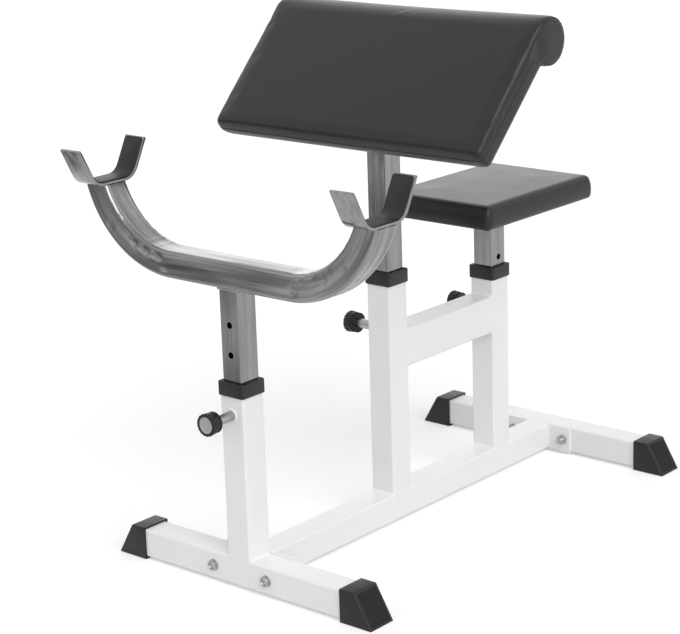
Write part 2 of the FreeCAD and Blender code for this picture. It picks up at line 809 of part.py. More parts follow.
def arm_pad():
    """Everything on the arm pad's inner tube; the pad's own Y axis runs up the slope from its lower end."""
    slope = math.radians(S.arm_pad_slope.number)
    lift = FreeCAD.Rotation(Vector(1, 0, 0), S.arm_pad_slope.number)
    seat_spot = point(0, arm_line, arm_mount)
    screws = FreeCAD.Placement(seat_spot, lift)
    lower_end = lift.multVec(point(0, -S.arm_pad_lower_reach, pad_reach))
    local = FreeCAD.Placement(seat_spot + lower_end, lift)
    tube_top = arm_mount - S.plate_thickness.number / math.cos(slope)
    rise = S.inner_side / 2 * of_angle(math.tan, S.arm_pad_slope)
    pin_height = arm_post_top - S.arm_pin_drop
    body = inner_tube(
        "arm_pad_inner_tube", arm_line, pin_height, tube_top + rise, S.arm_steps_down, "YZ_Plane")
    bevel = new_sketch(body, "YZ_Plane")
    length = tube_top + rise - (pin_height - S.steps_up * S.hole_pitch - S.inner_tail)
    polygon(bevel, [(-S.inner_side / 2, length - 2 * rise), (S.inner_side / 2, length),
                    (-S.inner_side / 2, length + rise)])
    cut_through(body, bevel)
    plate = mount_plate("arm_pad_plate", S.arm_screws_across, S.arm_screws_along)
    plate.Placement = screws.multiply(FreeCAD.Placement(point(0, 0, -S.plate_thickness), FreeCAD.Rotation()))
    keep(plate, "arm_pad_plate")
    shift = S.arm_board_margin + S.arm_board_length / 2 - S.arm_pad_lower_reach
    board = pad_board("arm_pad_board", S.arm_board_width, S.arm_board_length,
                      S.arm_screws_across, S.arm_screws_along, shift)
    board.Placement = screws
    keep(board, "arm_pad_board")
    pad_screws("arm_pad_screws", S.arm_screws_across, S.arm_screws_along, screws)
    arm_pad_cushion(local)


def seat_cushion():
    """Foam and vinyl of the seat, drawn in under its lower edge, crowned on top, over its board."""
    body = new_body("seat_cushion")
    edge = S.seat_edge
    full = S.seat_thickness - S.seat_crown
    layers = (
        (edge / 3, 0 * full),
        (0 * edge, full / 3),
        (edge / 6, 2 * full / 3),
        (edge, full),
        (2 * edge, S.seat_thickness),
    )
    outlines = []
    for inset, height in layers:
        sketch = new_sketch(body, "XY_Plane", height)
        rounded_rectangle(
            sketch, S.seat_width - 2 * inset, S.seat_length - 2 * inset, S.seat_corner - inset)
        outlines.append(sketch)
    loft = body.newObject("PartDesign::AdditiveLoft", "Foam")
    loft.Profile = outlines[0]
    loft.Sections = outlines[1:]
    loft.Ruled = True
    recess = new_sketch(body, "XY_Plane")
    margin = 2 * (S.seat_board_margin - S.pad_clearance)
    rounded_rectangle(
        recess, S.seat_width - margin, S.seat_length - margin, S.board_corner + S.pad_clearance)
    cut(body, recess, S.board_thickness - S.board_proud + S.pad_clearance, other_way=True)
    place(body, 0, seat_line, seat_mount + S.board_proud)
    keep(body, "seat_cushion")


def seat():
    """Everything on the seat's inner tube."""
    inner_tube("seat_inner_tube", seat_line, seat_post_top - S.seat_pin_drop, seat_mount - S.plate_thickness,
               S.seat_steps_down, "YZ_Plane")
    plate = mount_plate("seat_plate", S.seat_screws_across, S.seat_screws_along)
    place(plate, 0, seat_line, seat_mount - S.plate_thickness)
    keep(plate, "seat_plate")
    margin = 2 * S.seat_board_margin
    board = pad_board("seat_board", S.seat_width - margin, S.seat_length - margin,
                      S.seat_screws_across, S.seat_screws_along, 0)
    place(board, 0, seat_line, seat_mount)
    keep(board, "seat_board")
    pad_screws("seat_screws", S.seat_screws_across, S.seat_screws_along, board.Placement)
    seat_cushion()


def pin_knob(label):
    """Ribbed knob on the plunger's stem, hollow behind so that it passes over the barrel's end."""
    body = new_body(label)
    ribs = int(S.knob_ribs.number)
    turns = [step * math.pi / ribs for step in range(2 * ribs)]
    grip = S.knob_diameter / 2
    bore = S.barrel_diameter / 2 + S.knob_bore_clearance
    outline = new_sketch(body, "XY_Plane", knob_back)
    ridges = zip([grip, grip - S.knob_rib_depth] * ribs, turns)
    polygon(outline, [(radius * math.cos(turn), radius * math.sin(turn)) for radius, turn in ridges])
    pad(body, outline, S.knob_length)
    hollow = new_sketch(body, "XY_Plane", knob_back)
    polygon(hollow, [(bore * math.cos(turn), bore * math.sin(turn)) for turn in turns[::2]])
    cut(body, hollow, S.knob_length - S.knob_face, other_way=True)
    socket = new_sketch(body, "XY_Plane", knob_back)
    circle(socket, 0, 0, S.stem_diameter + 2 * S.pin_fit)
    cut(body, socket, S.knob_length - S.knob_face / 2, other_way=True)
    return body


def pin_plunger(label):
    """Turned plunger, drawn out: blunt tip, shoulder for the spring, stem out to the knob."""
    radius = S.pin_diameter / 2
    stem = S.stem_diameter / 2
    shoulder = S.shoulder_diameter / 2
    shoulder_back = shoulder_place + S.shoulder_thickness
    stem_end = knob_front - S.knob_face / 2
    return turned(label, [
        (0, plunger_tip), (radius, plunger_tip), (radius, shoulder_place), (shoulder, shoulder_place),
        (shoulder, shoulder_back), (stem, shoulder_back), (stem, stem_end), (0, stem_end),
    ])


def pin_barrel():
    """Turned barrel on the face of the post, with a spring chamber and a guide at each end."""
    guide = S.pin_diameter / 2 + S.pin_fit
    stem_hole = S.stem_diameter / 2 + S.pin_fit
    outer = S.barrel_diameter / 2
    chamber = S.spring_chamber / 2
    end_wall = S.barrel_length - S.barrel_end_wall
    return turned("Barrel", [
        (guide, 0), (outer, 0), (outer, S.barrel_length), (stem_hole, S.barrel_length),
        (stem_hole, end_wall), (chamber, end_wall), (chamber, S.barrel_end_wall), (guide, S.barrel_end_wall),
    ])


def pull_pins():
    """A sprung pull pin on each post, measured outwards from the face of the post."""
    posts = (
        ("rack", front_line, front_post_top - S.rack_pin_drop, Vector(0, -1, 0)),
        ("arm_pad", arm_line, arm_post_top - S.arm_pin_drop, Vector(-1, 0, 0)),
        ("seat", seat_line, seat_post_top - S.seat_pin_drop, Vector(-1, 0, 0)),
    )
    shoulder_back = shoulder_place + S.shoulder_thickness
    spring_length = S.barrel_length - S.barrel_end_wall - shoulder_back
    seats = []
    for prefix, line, height, outwards in posts:
        face = point(0, line, height) + outwards * (S.tube_side.number / 2)
        seat_place = FreeCAD.Placement(face, FreeCAD.Rotation(UP, outwards))
        seats.append(seat_place)
        for part in (pin_plunger(f"{prefix}_pin_plunger"), pin_knob(f"{prefix}_pin_knob")):
            part.Placement = seat_place
            keep(part, part.Name)
    group("pin_barrels", pin_barrel(), seats)
    spring = new_body("Spring")
    sleeve = new_sketch(spring, "XY_Plane")
    hexagon(sleeve, S.spring_outside)
    hexagon(sleeve, S.spring_inside)
    pad(spring, sleeve, spring_length)
    lift = FreeCAD.Placement(point(0, 0, shoulder_back), FreeCAD.Rotation())
    group("pin_springs", spring, [seat_place.multiply(lift) for seat_place in seats])


def frame():
    foot_tube("front_foot_tube", front_line)
    foot_tube("rear_foot_tube", rear_line)
    base_beam()
    beam_flange("beam_front_flange", front_line + S.tube_side / 2)
    beam_flange("beam_rear_flange", rear_line - S.tube_side / 2 - S.flange_thickness)
    base_fasteners()
    post("front_post", front_line, S.front_post_length, S.rack_pin_drop, "XZ_Plane", True)
    post("arm_pad_post", arm_line, S.arm_post_length, S.arm_pin_drop, "YZ_Plane", False)
    post("seat_post", seat_line, S.seat_post_length, S.seat_pin_drop, "YZ_Plane", False)
    post_cross_member()
    for place_name, line in (("front", front_line), ("rear", rear_line)):
        foot_cap(f"foot_cap_{place_name}_left", line, 180)
        foot_cap(f"foot_cap_{place_name}_right", line, 0)
    post_bush("front_post_bush", front_line, front_post_top)
    post_bush("arm_pad_post_bush", arm_line, arm_post_top)
    post_bush("seat_post_bush", seat_line, seat_post_top)


def rack():
    inner_tube("rack_inner_tube", front_line, front_post_top - S.rack_pin_drop, rack_base,
               S.rack_steps_down, "XZ_Plane", front_only=True)
    rack_u_tube()
    bar_hook("left", -S.hook_spacing / 2)
    bar_hook("right", S.hook_spacing / 2)


def check_document():
    """Stop before anything is written if a feature failed or a shape is unsound."""
    for item in document.Objects:
        if "Invalid" in item.State or "Error" in item.State:
            raise RuntimeError(f"{item.Name} did not build: {item.State}")
    for part in parts:
        if part.Shape.isNull() or not part.Shape.isValid() or not part.Shape.Solids:
            raise RuntimeError(f"{part.Label} is not a sound solid")


def write_parts():
    os.makedirs("parts", exist_ok=True)
    for part in parts:
        part.Shape.exportStep(f"parts/{part.Label}.step")


frame()
rack()
arm_pad()
seat()
pull_pins()
document.recompute()
check_document()
write_parts()
print(f"{len(parts)} parts, {sum(len(part.Shape.Solids) for part in parts)} solids")
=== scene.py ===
import math

import bmesh
import bpy
from mathutils import Matrix, Vector

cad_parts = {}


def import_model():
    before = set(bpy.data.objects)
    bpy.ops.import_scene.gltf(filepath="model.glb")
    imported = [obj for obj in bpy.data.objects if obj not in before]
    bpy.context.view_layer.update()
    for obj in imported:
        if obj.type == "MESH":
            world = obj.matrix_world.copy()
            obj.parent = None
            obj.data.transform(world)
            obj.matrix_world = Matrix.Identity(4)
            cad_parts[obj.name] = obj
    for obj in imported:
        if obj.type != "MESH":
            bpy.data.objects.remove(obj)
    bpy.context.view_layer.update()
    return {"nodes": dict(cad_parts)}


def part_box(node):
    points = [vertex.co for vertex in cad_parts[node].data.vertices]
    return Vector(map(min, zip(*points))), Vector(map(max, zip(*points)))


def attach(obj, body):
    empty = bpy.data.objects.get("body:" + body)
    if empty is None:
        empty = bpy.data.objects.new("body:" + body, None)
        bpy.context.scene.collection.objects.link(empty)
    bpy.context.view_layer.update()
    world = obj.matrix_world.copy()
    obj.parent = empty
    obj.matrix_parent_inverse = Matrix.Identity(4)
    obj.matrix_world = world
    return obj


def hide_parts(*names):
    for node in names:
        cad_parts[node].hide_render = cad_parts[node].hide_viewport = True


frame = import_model()
nodes = frame["nodes"]

# Sizes are in millimetres, and MM turns them to the scene's metres.
# +Z is up; the bar rack is at the front (-Y) and the seat at the rear (+Y).
MM = 0.001


def middle(node):
    """Middle of a CAD node's box, in millimetres."""
    low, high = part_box(node)
    return (low + high) / (2 * MM)


def top(node):
    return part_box(node)[1].z / MM


def bottom(node):
    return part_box(node)[0].z / MM


FRONT_Y = middle("front_post").y
ARM_Y = middle("arm_pad_post").y
SEAT_Y = middle("seat_post").y
REAR_Y = middle("rear_foot_tube").y
FOOT_TOP = top("front_foot_tube")
TUBE_HALF = 25
TUBE_CORNER = 4
INNER_HALF = 21
FLANGE = 5


def hex_colour(code):
    """An sRGB hex colour as linear red, green, blue and alpha."""
    parts = [int(code[place:place + 2], 16) / 255 for place in (1, 3, 5)]
    linear = [c / 12.92 if c <= 0.04045 else ((c + 0.055) / 1.055) ** 2.4 for c in parts]
    return (*linear, 1.0)


def per_mm(size):
    """Texture scale for a pattern whose features are this many millimetres across."""
    return 1 / (size * MM)


def wire(owner, node, inputs):
    """Set a node's inputs; one that is another node's output is linked."""
    for name, value in inputs.items():
        if isinstance(value, bpy.types.NodeSocket):
            owner.node_tree.links.new(value, node.inputs[name])
        else:
            node.inputs[name].default_value = value


def add_node(owner, kind, inputs=None, **settings):
    node = owner.node_tree.nodes.new(kind)
    for name, value in settings.items():
        setattr(node, name, value)
    wire(owner, node, inputs or {})
    return node


def new_material(name):
    """A material, and the place on the piece that its patterns are drawn by."""
    material = bpy.data.materials.new(name)
    material.use_nodes = True
    return material, add_node(material, "ShaderNodeTexCoord").outputs["Object"]


def shade(material, inputs):
    wire(material, material.node_tree.nodes["Principled BSDF"], inputs)
    return material


def polyester_powder_coat():
    """White polyester powder, sprayed and baked: half gloss, with a faint orange peel of about 2 mm."""
    material, place = new_material("polyester_powder_coat")
    peel = add_node(material, "ShaderNodeTexNoise", {"Vector": place, "Scale": per_mm(2.2), "Detail": 2.0})
    cloud = add_node(material, "ShaderNodeTexNoise", {"Vector": place, "Scale": per_mm(90), "Detail": 3.0})
    tone = add_node(material, "ShaderNodeMix", {
        "Factor": cloud.outputs["Fac"],
        "A": hex_colour("#E8E8E7"), "B": hex_colour("#EFEFEE")}, data_type="RGBA")
    gloss = add_node(material, "ShaderNodeMapRange", {
        "Value": cloud.outputs["Fac"], "To Min": 0.34, "To Max": 0.48})
    relief = add_node(material, "ShaderNodeBump", {
        "Height": peel.outputs["Fac"], "Distance": 0.12 * MM, "Strength": 0.25})
    return shade(material, {
        "Base Color": tone.outputs["Result"], "Roughness": gloss.outputs["Result"],
        "Normal": relief.outputs["Normal"], "IOR": 1.5})


def drawn_chrome_plate(name, along, dull, bright, kept_place=None):
    """Chrome plate on drawn steel tube: a grey mirror with lines and broad dull streaks along the tube.

    A bent tube draws them by the place along it that is kept in its mesh.
    The real draw lines are under 0.5 mm apart; they are drawn at 1.6 mm so that they show.
    """
    material, place = new_material(name)
    if kept_place:
        place = add_node(material, "ShaderNodeAttribute", attribute_name=kept_place).outputs["Vector"]
    fine = [per_mm(1.6)] * 3
    broad = [per_mm(9)] * 3
    fine[along] = per_mm(70)
    broad[along] = per_mm(190)
    fine_place = add_node(material, "ShaderNodeMapping", {"Vector": place, "Scale": fine})
    broad_place = add_node(material, "ShaderNodeMapping", {"Vector": place, "Scale": broad})
    lines = add_node(material, "ShaderNodeTexNoise", {
        "Vector": fine_place.outputs["Vector"], "Scale": 1.0, "Detail": 3.0})
    streaks = add_node(material, "ShaderNodeTexNoise", {
        "Vector": broad_place.outputs["Vector"], "Scale": 1.0, "Detail": 4.0})
    strong = add_node(material, "ShaderNodeMapRange", {
        "Value": streaks.outputs["Fac"], "From Min": 0.34, "From Max": 0.66})
    tone = add_node(material, "ShaderNodeMix", {
        "Factor": strong.outputs["Result"],
        "A": hex_colour(dull), "B": hex_colour(bright)}, data_type="RGBA")
    gloss = add_node(material, "ShaderNodeMapRange", {
        "Value": lines.outputs["Fac"], "From Min": 0.3, "From Max": 0.7, "To Min": 0.08, "To Max": 0.24})
    relief = add_node(material, "ShaderNodeBump", {
        "Height": lines.outputs["Fac"], "Distance": 0.02 * MM, "Strength": 0.3})
    return shade(material, {
        "Base Color": tone.outputs["Result"], "Roughness": gloss.outputs["Result"],
        "Normal": relief.outputs["Normal"], "Metallic": 1.0})


def bright_zinc_plate():
    """Bright zinc on turned and headed steel: pale grey, slightly mottled, half matt."""
    material, place = new_material("bright_zinc_plate")
    mottle = add_node(material, "ShaderNodeTexNoise", {"Vector": place, "Scale": per_mm(3), "Detail": 4.0})
    tone = add_node(material, "ShaderNodeMix", {
        "Factor": mottle.outputs["Fac"],
        "A": hex_colour("#98999B"), "B": hex_colour("#BBBCBE")}, data_type="RGBA")
    gloss = add_node(material, "ShaderNodeMapRange", {
        "Value": mottle.outputs["Fac"], "To Min": 0.2, "To Max": 0.44})
    return shade(material, {
        "Base Color": tone.outputs["Result"], "Roughness": gloss.outputs["Result"], "Metallic": 1.0})


def moulded_rubber():
    """Black moulded rubber: dull, with the fine grain of its mould and faint scuffs."""
    material, place = new_material("moulded_rubber")
    grain = add_node(material, "ShaderNodeTexNoise", {"Vector": place, "Scale": per_mm(0.9), "Detail": 2.0})
    scuff = add_node(material, "ShaderNodeTexNoise", {"Vector": place, "Scale": per_mm(14), "Detail": 5.0})
    tone = add_node(material, "ShaderNodeMix", {
        "Factor": scuff.outputs["Fac"],
        "A": hex_colour("#080808"), "B": hex_colour("#131313")}, data_type="RGBA")
    gloss = add_node(material, "ShaderNodeMapRange", {
        "Value": scuff.outputs["Fac"], "To Min": 0.38, "To Max": 0.6})
    relief = add_node(material, "ShaderNodeBump", {
        "Height": grain.outputs["Fac"], "Distance": 0.1 * MM, "Strength": 0.3})
    return shade(material, {
        "Base Color": tone.outputs["Result"], "Roughness": gloss.outputs["Result"],
        "Normal": relief.outputs["Normal"], "IOR": 1.46})


def moulded_polypropylene():
    """Black moulded polypropylene: satin, with a fine spark-eroded grain."""
    material, place = new_material("moulded_polypropylene")
    grain = add_node(material, "ShaderNodeTexNoise", {"Vector": place, "Scale": per_mm(0.7), "Detail": 2.0})
    flow = add_node(material, "ShaderNodeTexNoise", {"Vector": place, "Scale": per_mm(25), "Detail": 3.0})
    tone = add_node(material, "ShaderNodeMix", {
        "Factor": flow.outputs["Fac"],
        "A": hex_colour("#080808"), "B": hex_colour("#111111")}, data_type="RGBA")
    gloss = add_node(material, "ShaderNodeMapRange", {
        "Value": flow.outputs["Fac"], "To Min": 0.36, "To Max": 0.5})
    relief = add_node(material, "ShaderNodeBump", {
        "Height": grain.outputs["Fac"], "Distance": 0.06 * MM, "Strength": 0.25})
    return shade(material, {
        "Base Color": tone.outputs["Result"], "Roughness": gloss.outputs["Result"],
        "Normal": relief.outputs["Normal"], "IOR": 1.49})


def calendered_vinyl():
    """Black PVC leathercloth, calendered and embossed: soft sheen over a leather grain.

    The real grain is about 1 mm; it is drawn at 2 mm so that a close view shows it.
    """
    material, place = new_material("calendered_vinyl")
    cells = add_node(material, "ShaderNodeTexVoronoi", {
        "Vector": place, "Scale": per_mm(2.0)}, feature="SMOOTH_F1")
    pores = add_node(material, "ShaderNodeTexNoise", {"Vector": place, "Scale": per_mm(1.2), "Detail": 3.0})
    wear = add_node(material, "ShaderNodeTexNoise", {"Vector": place, "Scale": per_mm(70), "Detail": 4.0})
    grain = add_node(material, "ShaderNodeMath", {
        0: cells.outputs["Distance"], 1: pores.outputs["Fac"]}, operation="ADD")
    tone = add_node(material, "ShaderNodeMix", {
        "Factor": wear.outputs["Fac"],
        "A": hex_colour("#0C0C0C"), "B": hex_colour("#131313")}, data_type="RGBA")
    gloss = add_node(material, "ShaderNodeMapRange", {
        "Value": wear.outputs["Fac"], "To Min": 0.32, "To Max": 0.42})
    relief = add_node(material, "ShaderNodeBump", {
        "Height": grain.outputs["Value"], "Distance": 0.06 * MM, "Strength": 0.25})
    return shade(material, {
        "Base Color": tone.outputs["Result"], "Roughness": gloss.outputs["Result"],
        "Normal": relief.outputs["Normal"], "IOR": 1.47})


def birch_plywood():
    """Birch plywood, peeled and sanded: pale tan with long wavy grain across the bench."""
    material, place = new_material("birch_plywood")
    stretched = add_node(material, "ShaderNodeMapping", {
        "Vector": place, "Scale": (per_mm(160), per_mm(6), per_mm(6))})
    grain = add_node(material, "ShaderNodeTexNoise", {
        "Vector": stretched.outputs["Vector"], "Scale": 1.0, "Detail": 6.0, "Distortion": 0.6})
    tone = add_node(material, "ShaderNodeMix", {
        "Factor": grain.outputs["Fac"],
        "A": hex_colour("#A98557"), "B": hex_colour("#D6BC94")}, data_type="RGBA")
    relief = add_node(material, "ShaderNodeBump", {
        "Height": grain.outputs["Fac"], "Distance": 0.15 * MM, "Strength": 0.3})
    return shade(material, {
        "Base Color": tone.outputs["Result"], "Roughness": 0.62,
        "Normal": relief.outputs["Normal"], "IOR": 1.5})


def stove_enamel():
    """Black stove enamel on steel plate: smooth, half gloss, a little uneven."""
    material, place = new_material("stove_enamel")
    flow = add_node(material, "ShaderNodeTexNoise", {"Vector": place, "Scale": per_mm(7), "Detail": 3.0})
    tone = add_node(material, "ShaderNodeMix", {
        "Factor": flow.outputs["Fac"],
        "A": hex_colour("#171717"), "B": hex_colour("#222222")}, data_type="RGBA")
    gloss = add_node(material, "ShaderNodeMapRange", {
        "Value": flow.outputs["Fac"], "To Min": 0.28, "To Max": 0.46})
    relief = add_node(material, "ShaderNodeBump", {
        "Height": flow.outputs["Fac"], "Distance": 0.1 * MM, "Strength": 0.2})
    return shade(material, {
        "Base Color": tone.outputs["Result"], "Roughness": gloss.outputs["Result"],
        "Normal": relief.outputs["Normal"], "IOR": 1.5})


POWDER = polyester_powder_coat()
CHROME_UPRIGHT = drawn_chrome_plate("drawn_chrome_plate_upright", 2, "#838486", "#969799")
CHROME_BENT = drawn_chrome_plate("drawn_chrome_plate_bent", 0, "#757678", "#A0A1A3", "tube_place")
ZINC = bright_zinc_plate()
RUBBER = moulded_rubber()
PLASTIC = moulded_polypropylene()
VINYL = calendered_vinyl()
PLYWOOD = birch_plywood()
ENAMEL = stove_enamel()

NODE_FINISHES = {
    POWDER: ("front_foot_tube", "rear_foot_tube", "base_beam", "beam_front_flange", "beam_rear_flange",
             "front_post", "arm_pad_post", "seat_post", "post_cross_member"),
    CHROME_UPRIGHT: ("rack_inner_tube", "arm_pad_inner_tube", "seat_inner_tube"),
    ZINC: ("pin_barrels", "pin_springs", "rack_pin_plunger", "arm_pad_pin_plunger", "seat_pin_plunger"),
    PLYWOOD: ("arm_pad_board", "seat_board"),
    ENAMEL: ("arm_pad_plate", "seat_plate"),
}


def dress(piece, material):
    piece.data.materials.clear()
    piece.data.materials.append(material)


def dress_nodes():
    for material, names in NODE_FINISHES.items():
        for name in names:
            dress(nodes[name], material)


def finish_piece(piece, material, body, *stands_for):
    """Give a piece its finish, the body that it moves with and the nodes that it stands for."""
    dress(piece, material)
    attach(piece, body)
    if stands_for:
        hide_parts(*stands_for)


def alone(piece):
    """Make a piece the only selected one, and the active one."""
    bpy.ops.object.select_all(action="DESELECT")
    piece.select_set(True)
    bpy.context.view_layer.objects.active = piece


def settle(piece, place=(0, 0, 0), turn=(0, 0, 0)):
    """Put a piece at a place in millimetres, turned in degrees, with both kept in its mesh."""
    alone(piece)
    piece.location = Vector(place) * MM
    piece.rotation_euler = [math.radians(angle) for angle in turn]
    bpy.ops.object.transform_apply(location=True, rotation=True, scale=True)
    return piece


def carry(piece, axes):
    """Move a piece's mesh by a matrix."""
    alone(piece)
    piece.matrix_world = axes
    bpy.ops.object.transform_apply(location=True, rotation=True, scale=True)
    return piece


def start_piece(name, size):
    """Name the primitive just added and scale it to a size in millimetres."""
    piece = bpy.context.object
    piece.name = name
    piece.scale = [side * MM for side in size]
    return piece


def block(name, size, place=(0, 0, 0)):
    bpy.ops.object.select_all(action="DESELECT")
    bpy.ops.mesh.primitive_cube_add(size=1)
    return settle(start_piece(name, size), place)


def flat(name, width, length, turn=(0, 0, 0)):
    bpy.ops.object.select_all(action="DESELECT")
    bpy.ops.mesh.primitive_plane_add(size=1)
    return settle(start_piece(name, (width, length, 1)), turn=turn)


def round_bar(name, radius, low, high, sides):
    """A cylinder along Z between two heights."""
    bpy.ops.object.select_all(action="DESELECT")
    bpy.ops.mesh.primitive_cylinder_add(vertices=sides, radius=1, depth=1)
    return settle(start_piece(name, (radius, radius, high - low)), (0, 0, (low + high) / 2))


def edit(piece):
    alone(piece)
    bpy.ops.object.mode_set(mode="EDIT")


def leave():
    bpy.ops.object.mode_set(mode="OBJECT")


def pick_all():
    bpy.ops.mesh.select_all(action="SELECT")


def start_pick(kind):
    """Empty selection of one kind, and the mesh to pick from."""
    bpy.ops.mesh.select_mode(type=kind)
    bpy.ops.mesh.select_all(action="DESELECT")
    return bmesh.from_edit_mesh(bpy.context.object.data)


def end_pick(shape):
    shape.select_flush_mode()
    bmesh.update_edit_mesh(bpy.context.object.data)


def pick_faces(test):
    """Select the faces whose middle, in millimetres, and normal pass a test."""
    shape = start_pick("FACE")
    shape.normal_update()
    for face in shape.faces:
        face.select_set(bool(test(face.calc_center_median() / MM, face.normal)))
    end_pick(shape)


def pick_edges(test):
    """Select the edges whose two ends, in millimetres, pass a test."""
    shape = start_pick("EDGE")
    for edge in shape.edges:
        edge.select_set(bool(test(edge.verts[0].co / MM, edge.verts[1].co / MM)))
    end_pick(shape)


def pick_points(test):
    """Select the points whose place, in millimetres, passes a test."""
    shape = start_pick("VERT")
    for vertex in shape.verts:
        vertex.select_set(bool(test(vertex.co / MM)))
    end_pick(shape)


def pick_sharp(angle):
    """Select every edge whose faces turn by more than an angle in degrees."""
    bpy.ops.mesh.select_mode(type="EDGE")
    bpy.ops.mesh.select_all(action="DESELECT")
    bpy.ops.mesh.edges_select_sharp(sharpness=math.radians(angle))


def shift(x=0, y=0, z=0):
    bpy.ops.transform.translate(value=(x * MM, y * MM, z * MM))


def extrude(x=0, y=0, z=0):
    bpy.ops.mesh.extrude_region_move(TRANSFORM_OT_translate={"value": (x * MM, y * MM, z * MM)})


def inset(thickness, depth=0.0, each=False):
    bpy.ops.mesh.inset(
        thickness=thickness * MM, depth=depth * MM, use_individual=each, use_even_offset=True)


def bevel(width, segments=3):
    bpy.ops.mesh.bevel(offset=width * MM, segments=segments, affect="EDGES")


def apply_modifier(piece, kind, **settings):
    alone(piece)
    modifier = piece.modifiers.new(kind.title(), kind)
    for name, value in settings.items():
        setattr(modifier, name, value)
    bpy.ops.object.modifier_apply(modifier=modifier.name)


def smooth(piece, angle=35):
    alone(piece)
    bpy.ops.object.shade_smooth_by_angle(angle=math.radians(angle))
    return piece


def merge_and_face_outwards(piece):
    edit(piece)
    pick_all()
    bpy.ops.mesh.remove_doubles(threshold=0.01 * MM)
    bpy.ops.mesh.normals_make_consistent(inside=False)
    leave()


def mirror(piece, *axes):
    """Close a half shape by its mirror image; axes says yes or no for X, Y and Z."""
    apply_modifier(piece, "MIRROR", use_axis=axes, merge_threshold=0.05 * MM)
    merge_and_face_outwards(piece)


def copy_of(piece, name):
    """A copy with a mesh of its own."""
    copy = piece.copy()
    copy.data = piece.data.copy()
    copy.name = name
    bpy.context.scene.collection.objects.link(copy)
    return copy


def copies_of(pattern, name, places):
    """Copies of a pattern at places and turns, joined as one piece; the pattern goes."""
    return join([settle(copy_of(pattern, name), *place) for place in places], name, pattern)


def join(pieces, name, *left_over):
    bpy.ops.object.select_all(action="DESELECT")
    for piece in pieces:
        piece.select_set(True)
    bpy.context.view_layer.objects.active = pieces[0]
    bpy.ops.object.join()
    joined = bpy.context.object
    joined.name = name
    discard(*left_over)
    return joined


def discard(*patterns):
    for pattern in patterns:
        bpy.data.objects.remove(pattern)


# rubber foot caps
CAP_LENGTH = 64
CAP_TOP_LENGTH = 30
CAP_WIDTH = 57
CAP_HEIGHT = 57.5
CAP_WALL = 3.35
CAP_GRIP = 25
CAP_RIM = 5.5
CAP_STEP = 0.6
CAP_SINK = 1.2
CAP_RIBS = 9
CAP_RIB_SLOPE = 0.5
CAP_RIB_RISE = 1.1
CAP_EDGE = 1.8


def foot_cap():
    """One cap at the origin, its slanted, framed and ribbed face towards +X."""
    panel_half = CAP_WIDTH / 2 - CAP_RIM
    rib = 2 * (panel_half - CAP_STEP) / (2 * CAP_RIBS + 1)
    cap = block("foot_cap", (CAP_LENGTH, CAP_WIDTH, CAP_HEIGHT), (CAP_LENGTH / 2, 0, CAP_HEIGHT / 2))

    def crosses_panel(a, b):
        ends_inside = min(abs(a.y), abs(b.y)) < panel_half - 0.3
        return ends_inside and abs(a.y - b.y) > 20 and a.x > CAP_TOP_LENGTH and 2 < a.z < CAP_HEIGHT - 2

    def on_outside(p):
        return abs(p.y) > CAP_WIDTH / 2 - 0.1 or p.z < 0.1 or p.z > CAP_HEIGHT - 0.1

    edit(cap)
    pick_points(lambda p: p.x > CAP_LENGTH - 1 and p.z > 1)
    shift(x=CAP_TOP_LENGTH - CAP_LENGTH)
    pick_faces(lambda p, n: n.x < -0.9)
    inset(CAP_WALL)
    extrude(x=CAP_GRIP)
    pick_faces(lambda p, n: n.x > 0.5 and p.x > CAP_GRIP + 5)
    inset(CAP_RIM)
    inset(CAP_STEP, -CAP_SINK)
    pick_edges(crosses_panel)
    bpy.ops.mesh.subdivide(number_cuts=2 * CAP_RIBS)
    pick_faces(lambda p, n: n.x > 0.5 and 8 < p.z < CAP_HEIGHT - 8 and abs(p.y) < panel_half - 1
               and round(p.y / rib) % 2 == 1)
    inset(CAP_RIB_SLOPE, CAP_RIB_RISE, each=True)
    pick_edges(lambda a, b: on_outside(a) and on_outside(b) and max(a.x, b.x) > 1 and (a - b).length > 20)
    bevel(CAP_EDGE)
    leave()
    return smooth(cap, 30)


def foot_caps():
    pattern = foot_cap()
    for end in ("front", "rear"):
        for side, turn in (("left", 180), ("right", 0)):
            node = f"foot_cap_{end}_{side}"
            low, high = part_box(node)
            inner = low.x if side == "right" else high.x
            place = (inner / MM, middle(node).y, low.z / MM)
            cap = settle(copy_of(pattern, f"{node}_moulding"), place, (0, 0, turn))
            finish_piece(cap, RUBBER, "frame", node)
    discard(pattern)


# plastic bushes
BUSH_SIDE = 55.5
BUSH_HEIGHT = 24
BUSH_OPENING = 42.6
BUSH_CORNER = 5
BUSH_EDGE = 1.6


def post_bushes():
    """A collar with rounded corners on each post, open for its inner tube."""
    pattern = block("bush", (BUSH_SIDE, BUSH_SIDE, BUSH_HEIGHT), (0, 0, BUSH_HEIGHT / 2))
    edit(pattern)
    pick_edges(lambda a, b: abs(a.z - b.z) > 1)
    bevel(BUSH_CORNER, 5)
    pick_faces(lambda p, n: abs(n.z) > 0.9)
    inset((BUSH_SIDE - BUSH_OPENING) / 2)
    bpy.ops.mesh.bridge_edge_loops()
    pick_sharp(60)
    bevel(BUSH_EDGE, 4)
    leave()
    smooth(pattern, 40)
    for post in ("front_post", "arm_pad_post", "seat_post"):
        collar = settle(copy_of(pattern, f"{post}_bush_collar"), (0, middle(post).y, top(post)))
        finish_piece(collar, PLASTIC, "frame", f"{post}_bush")
    discard(pattern)


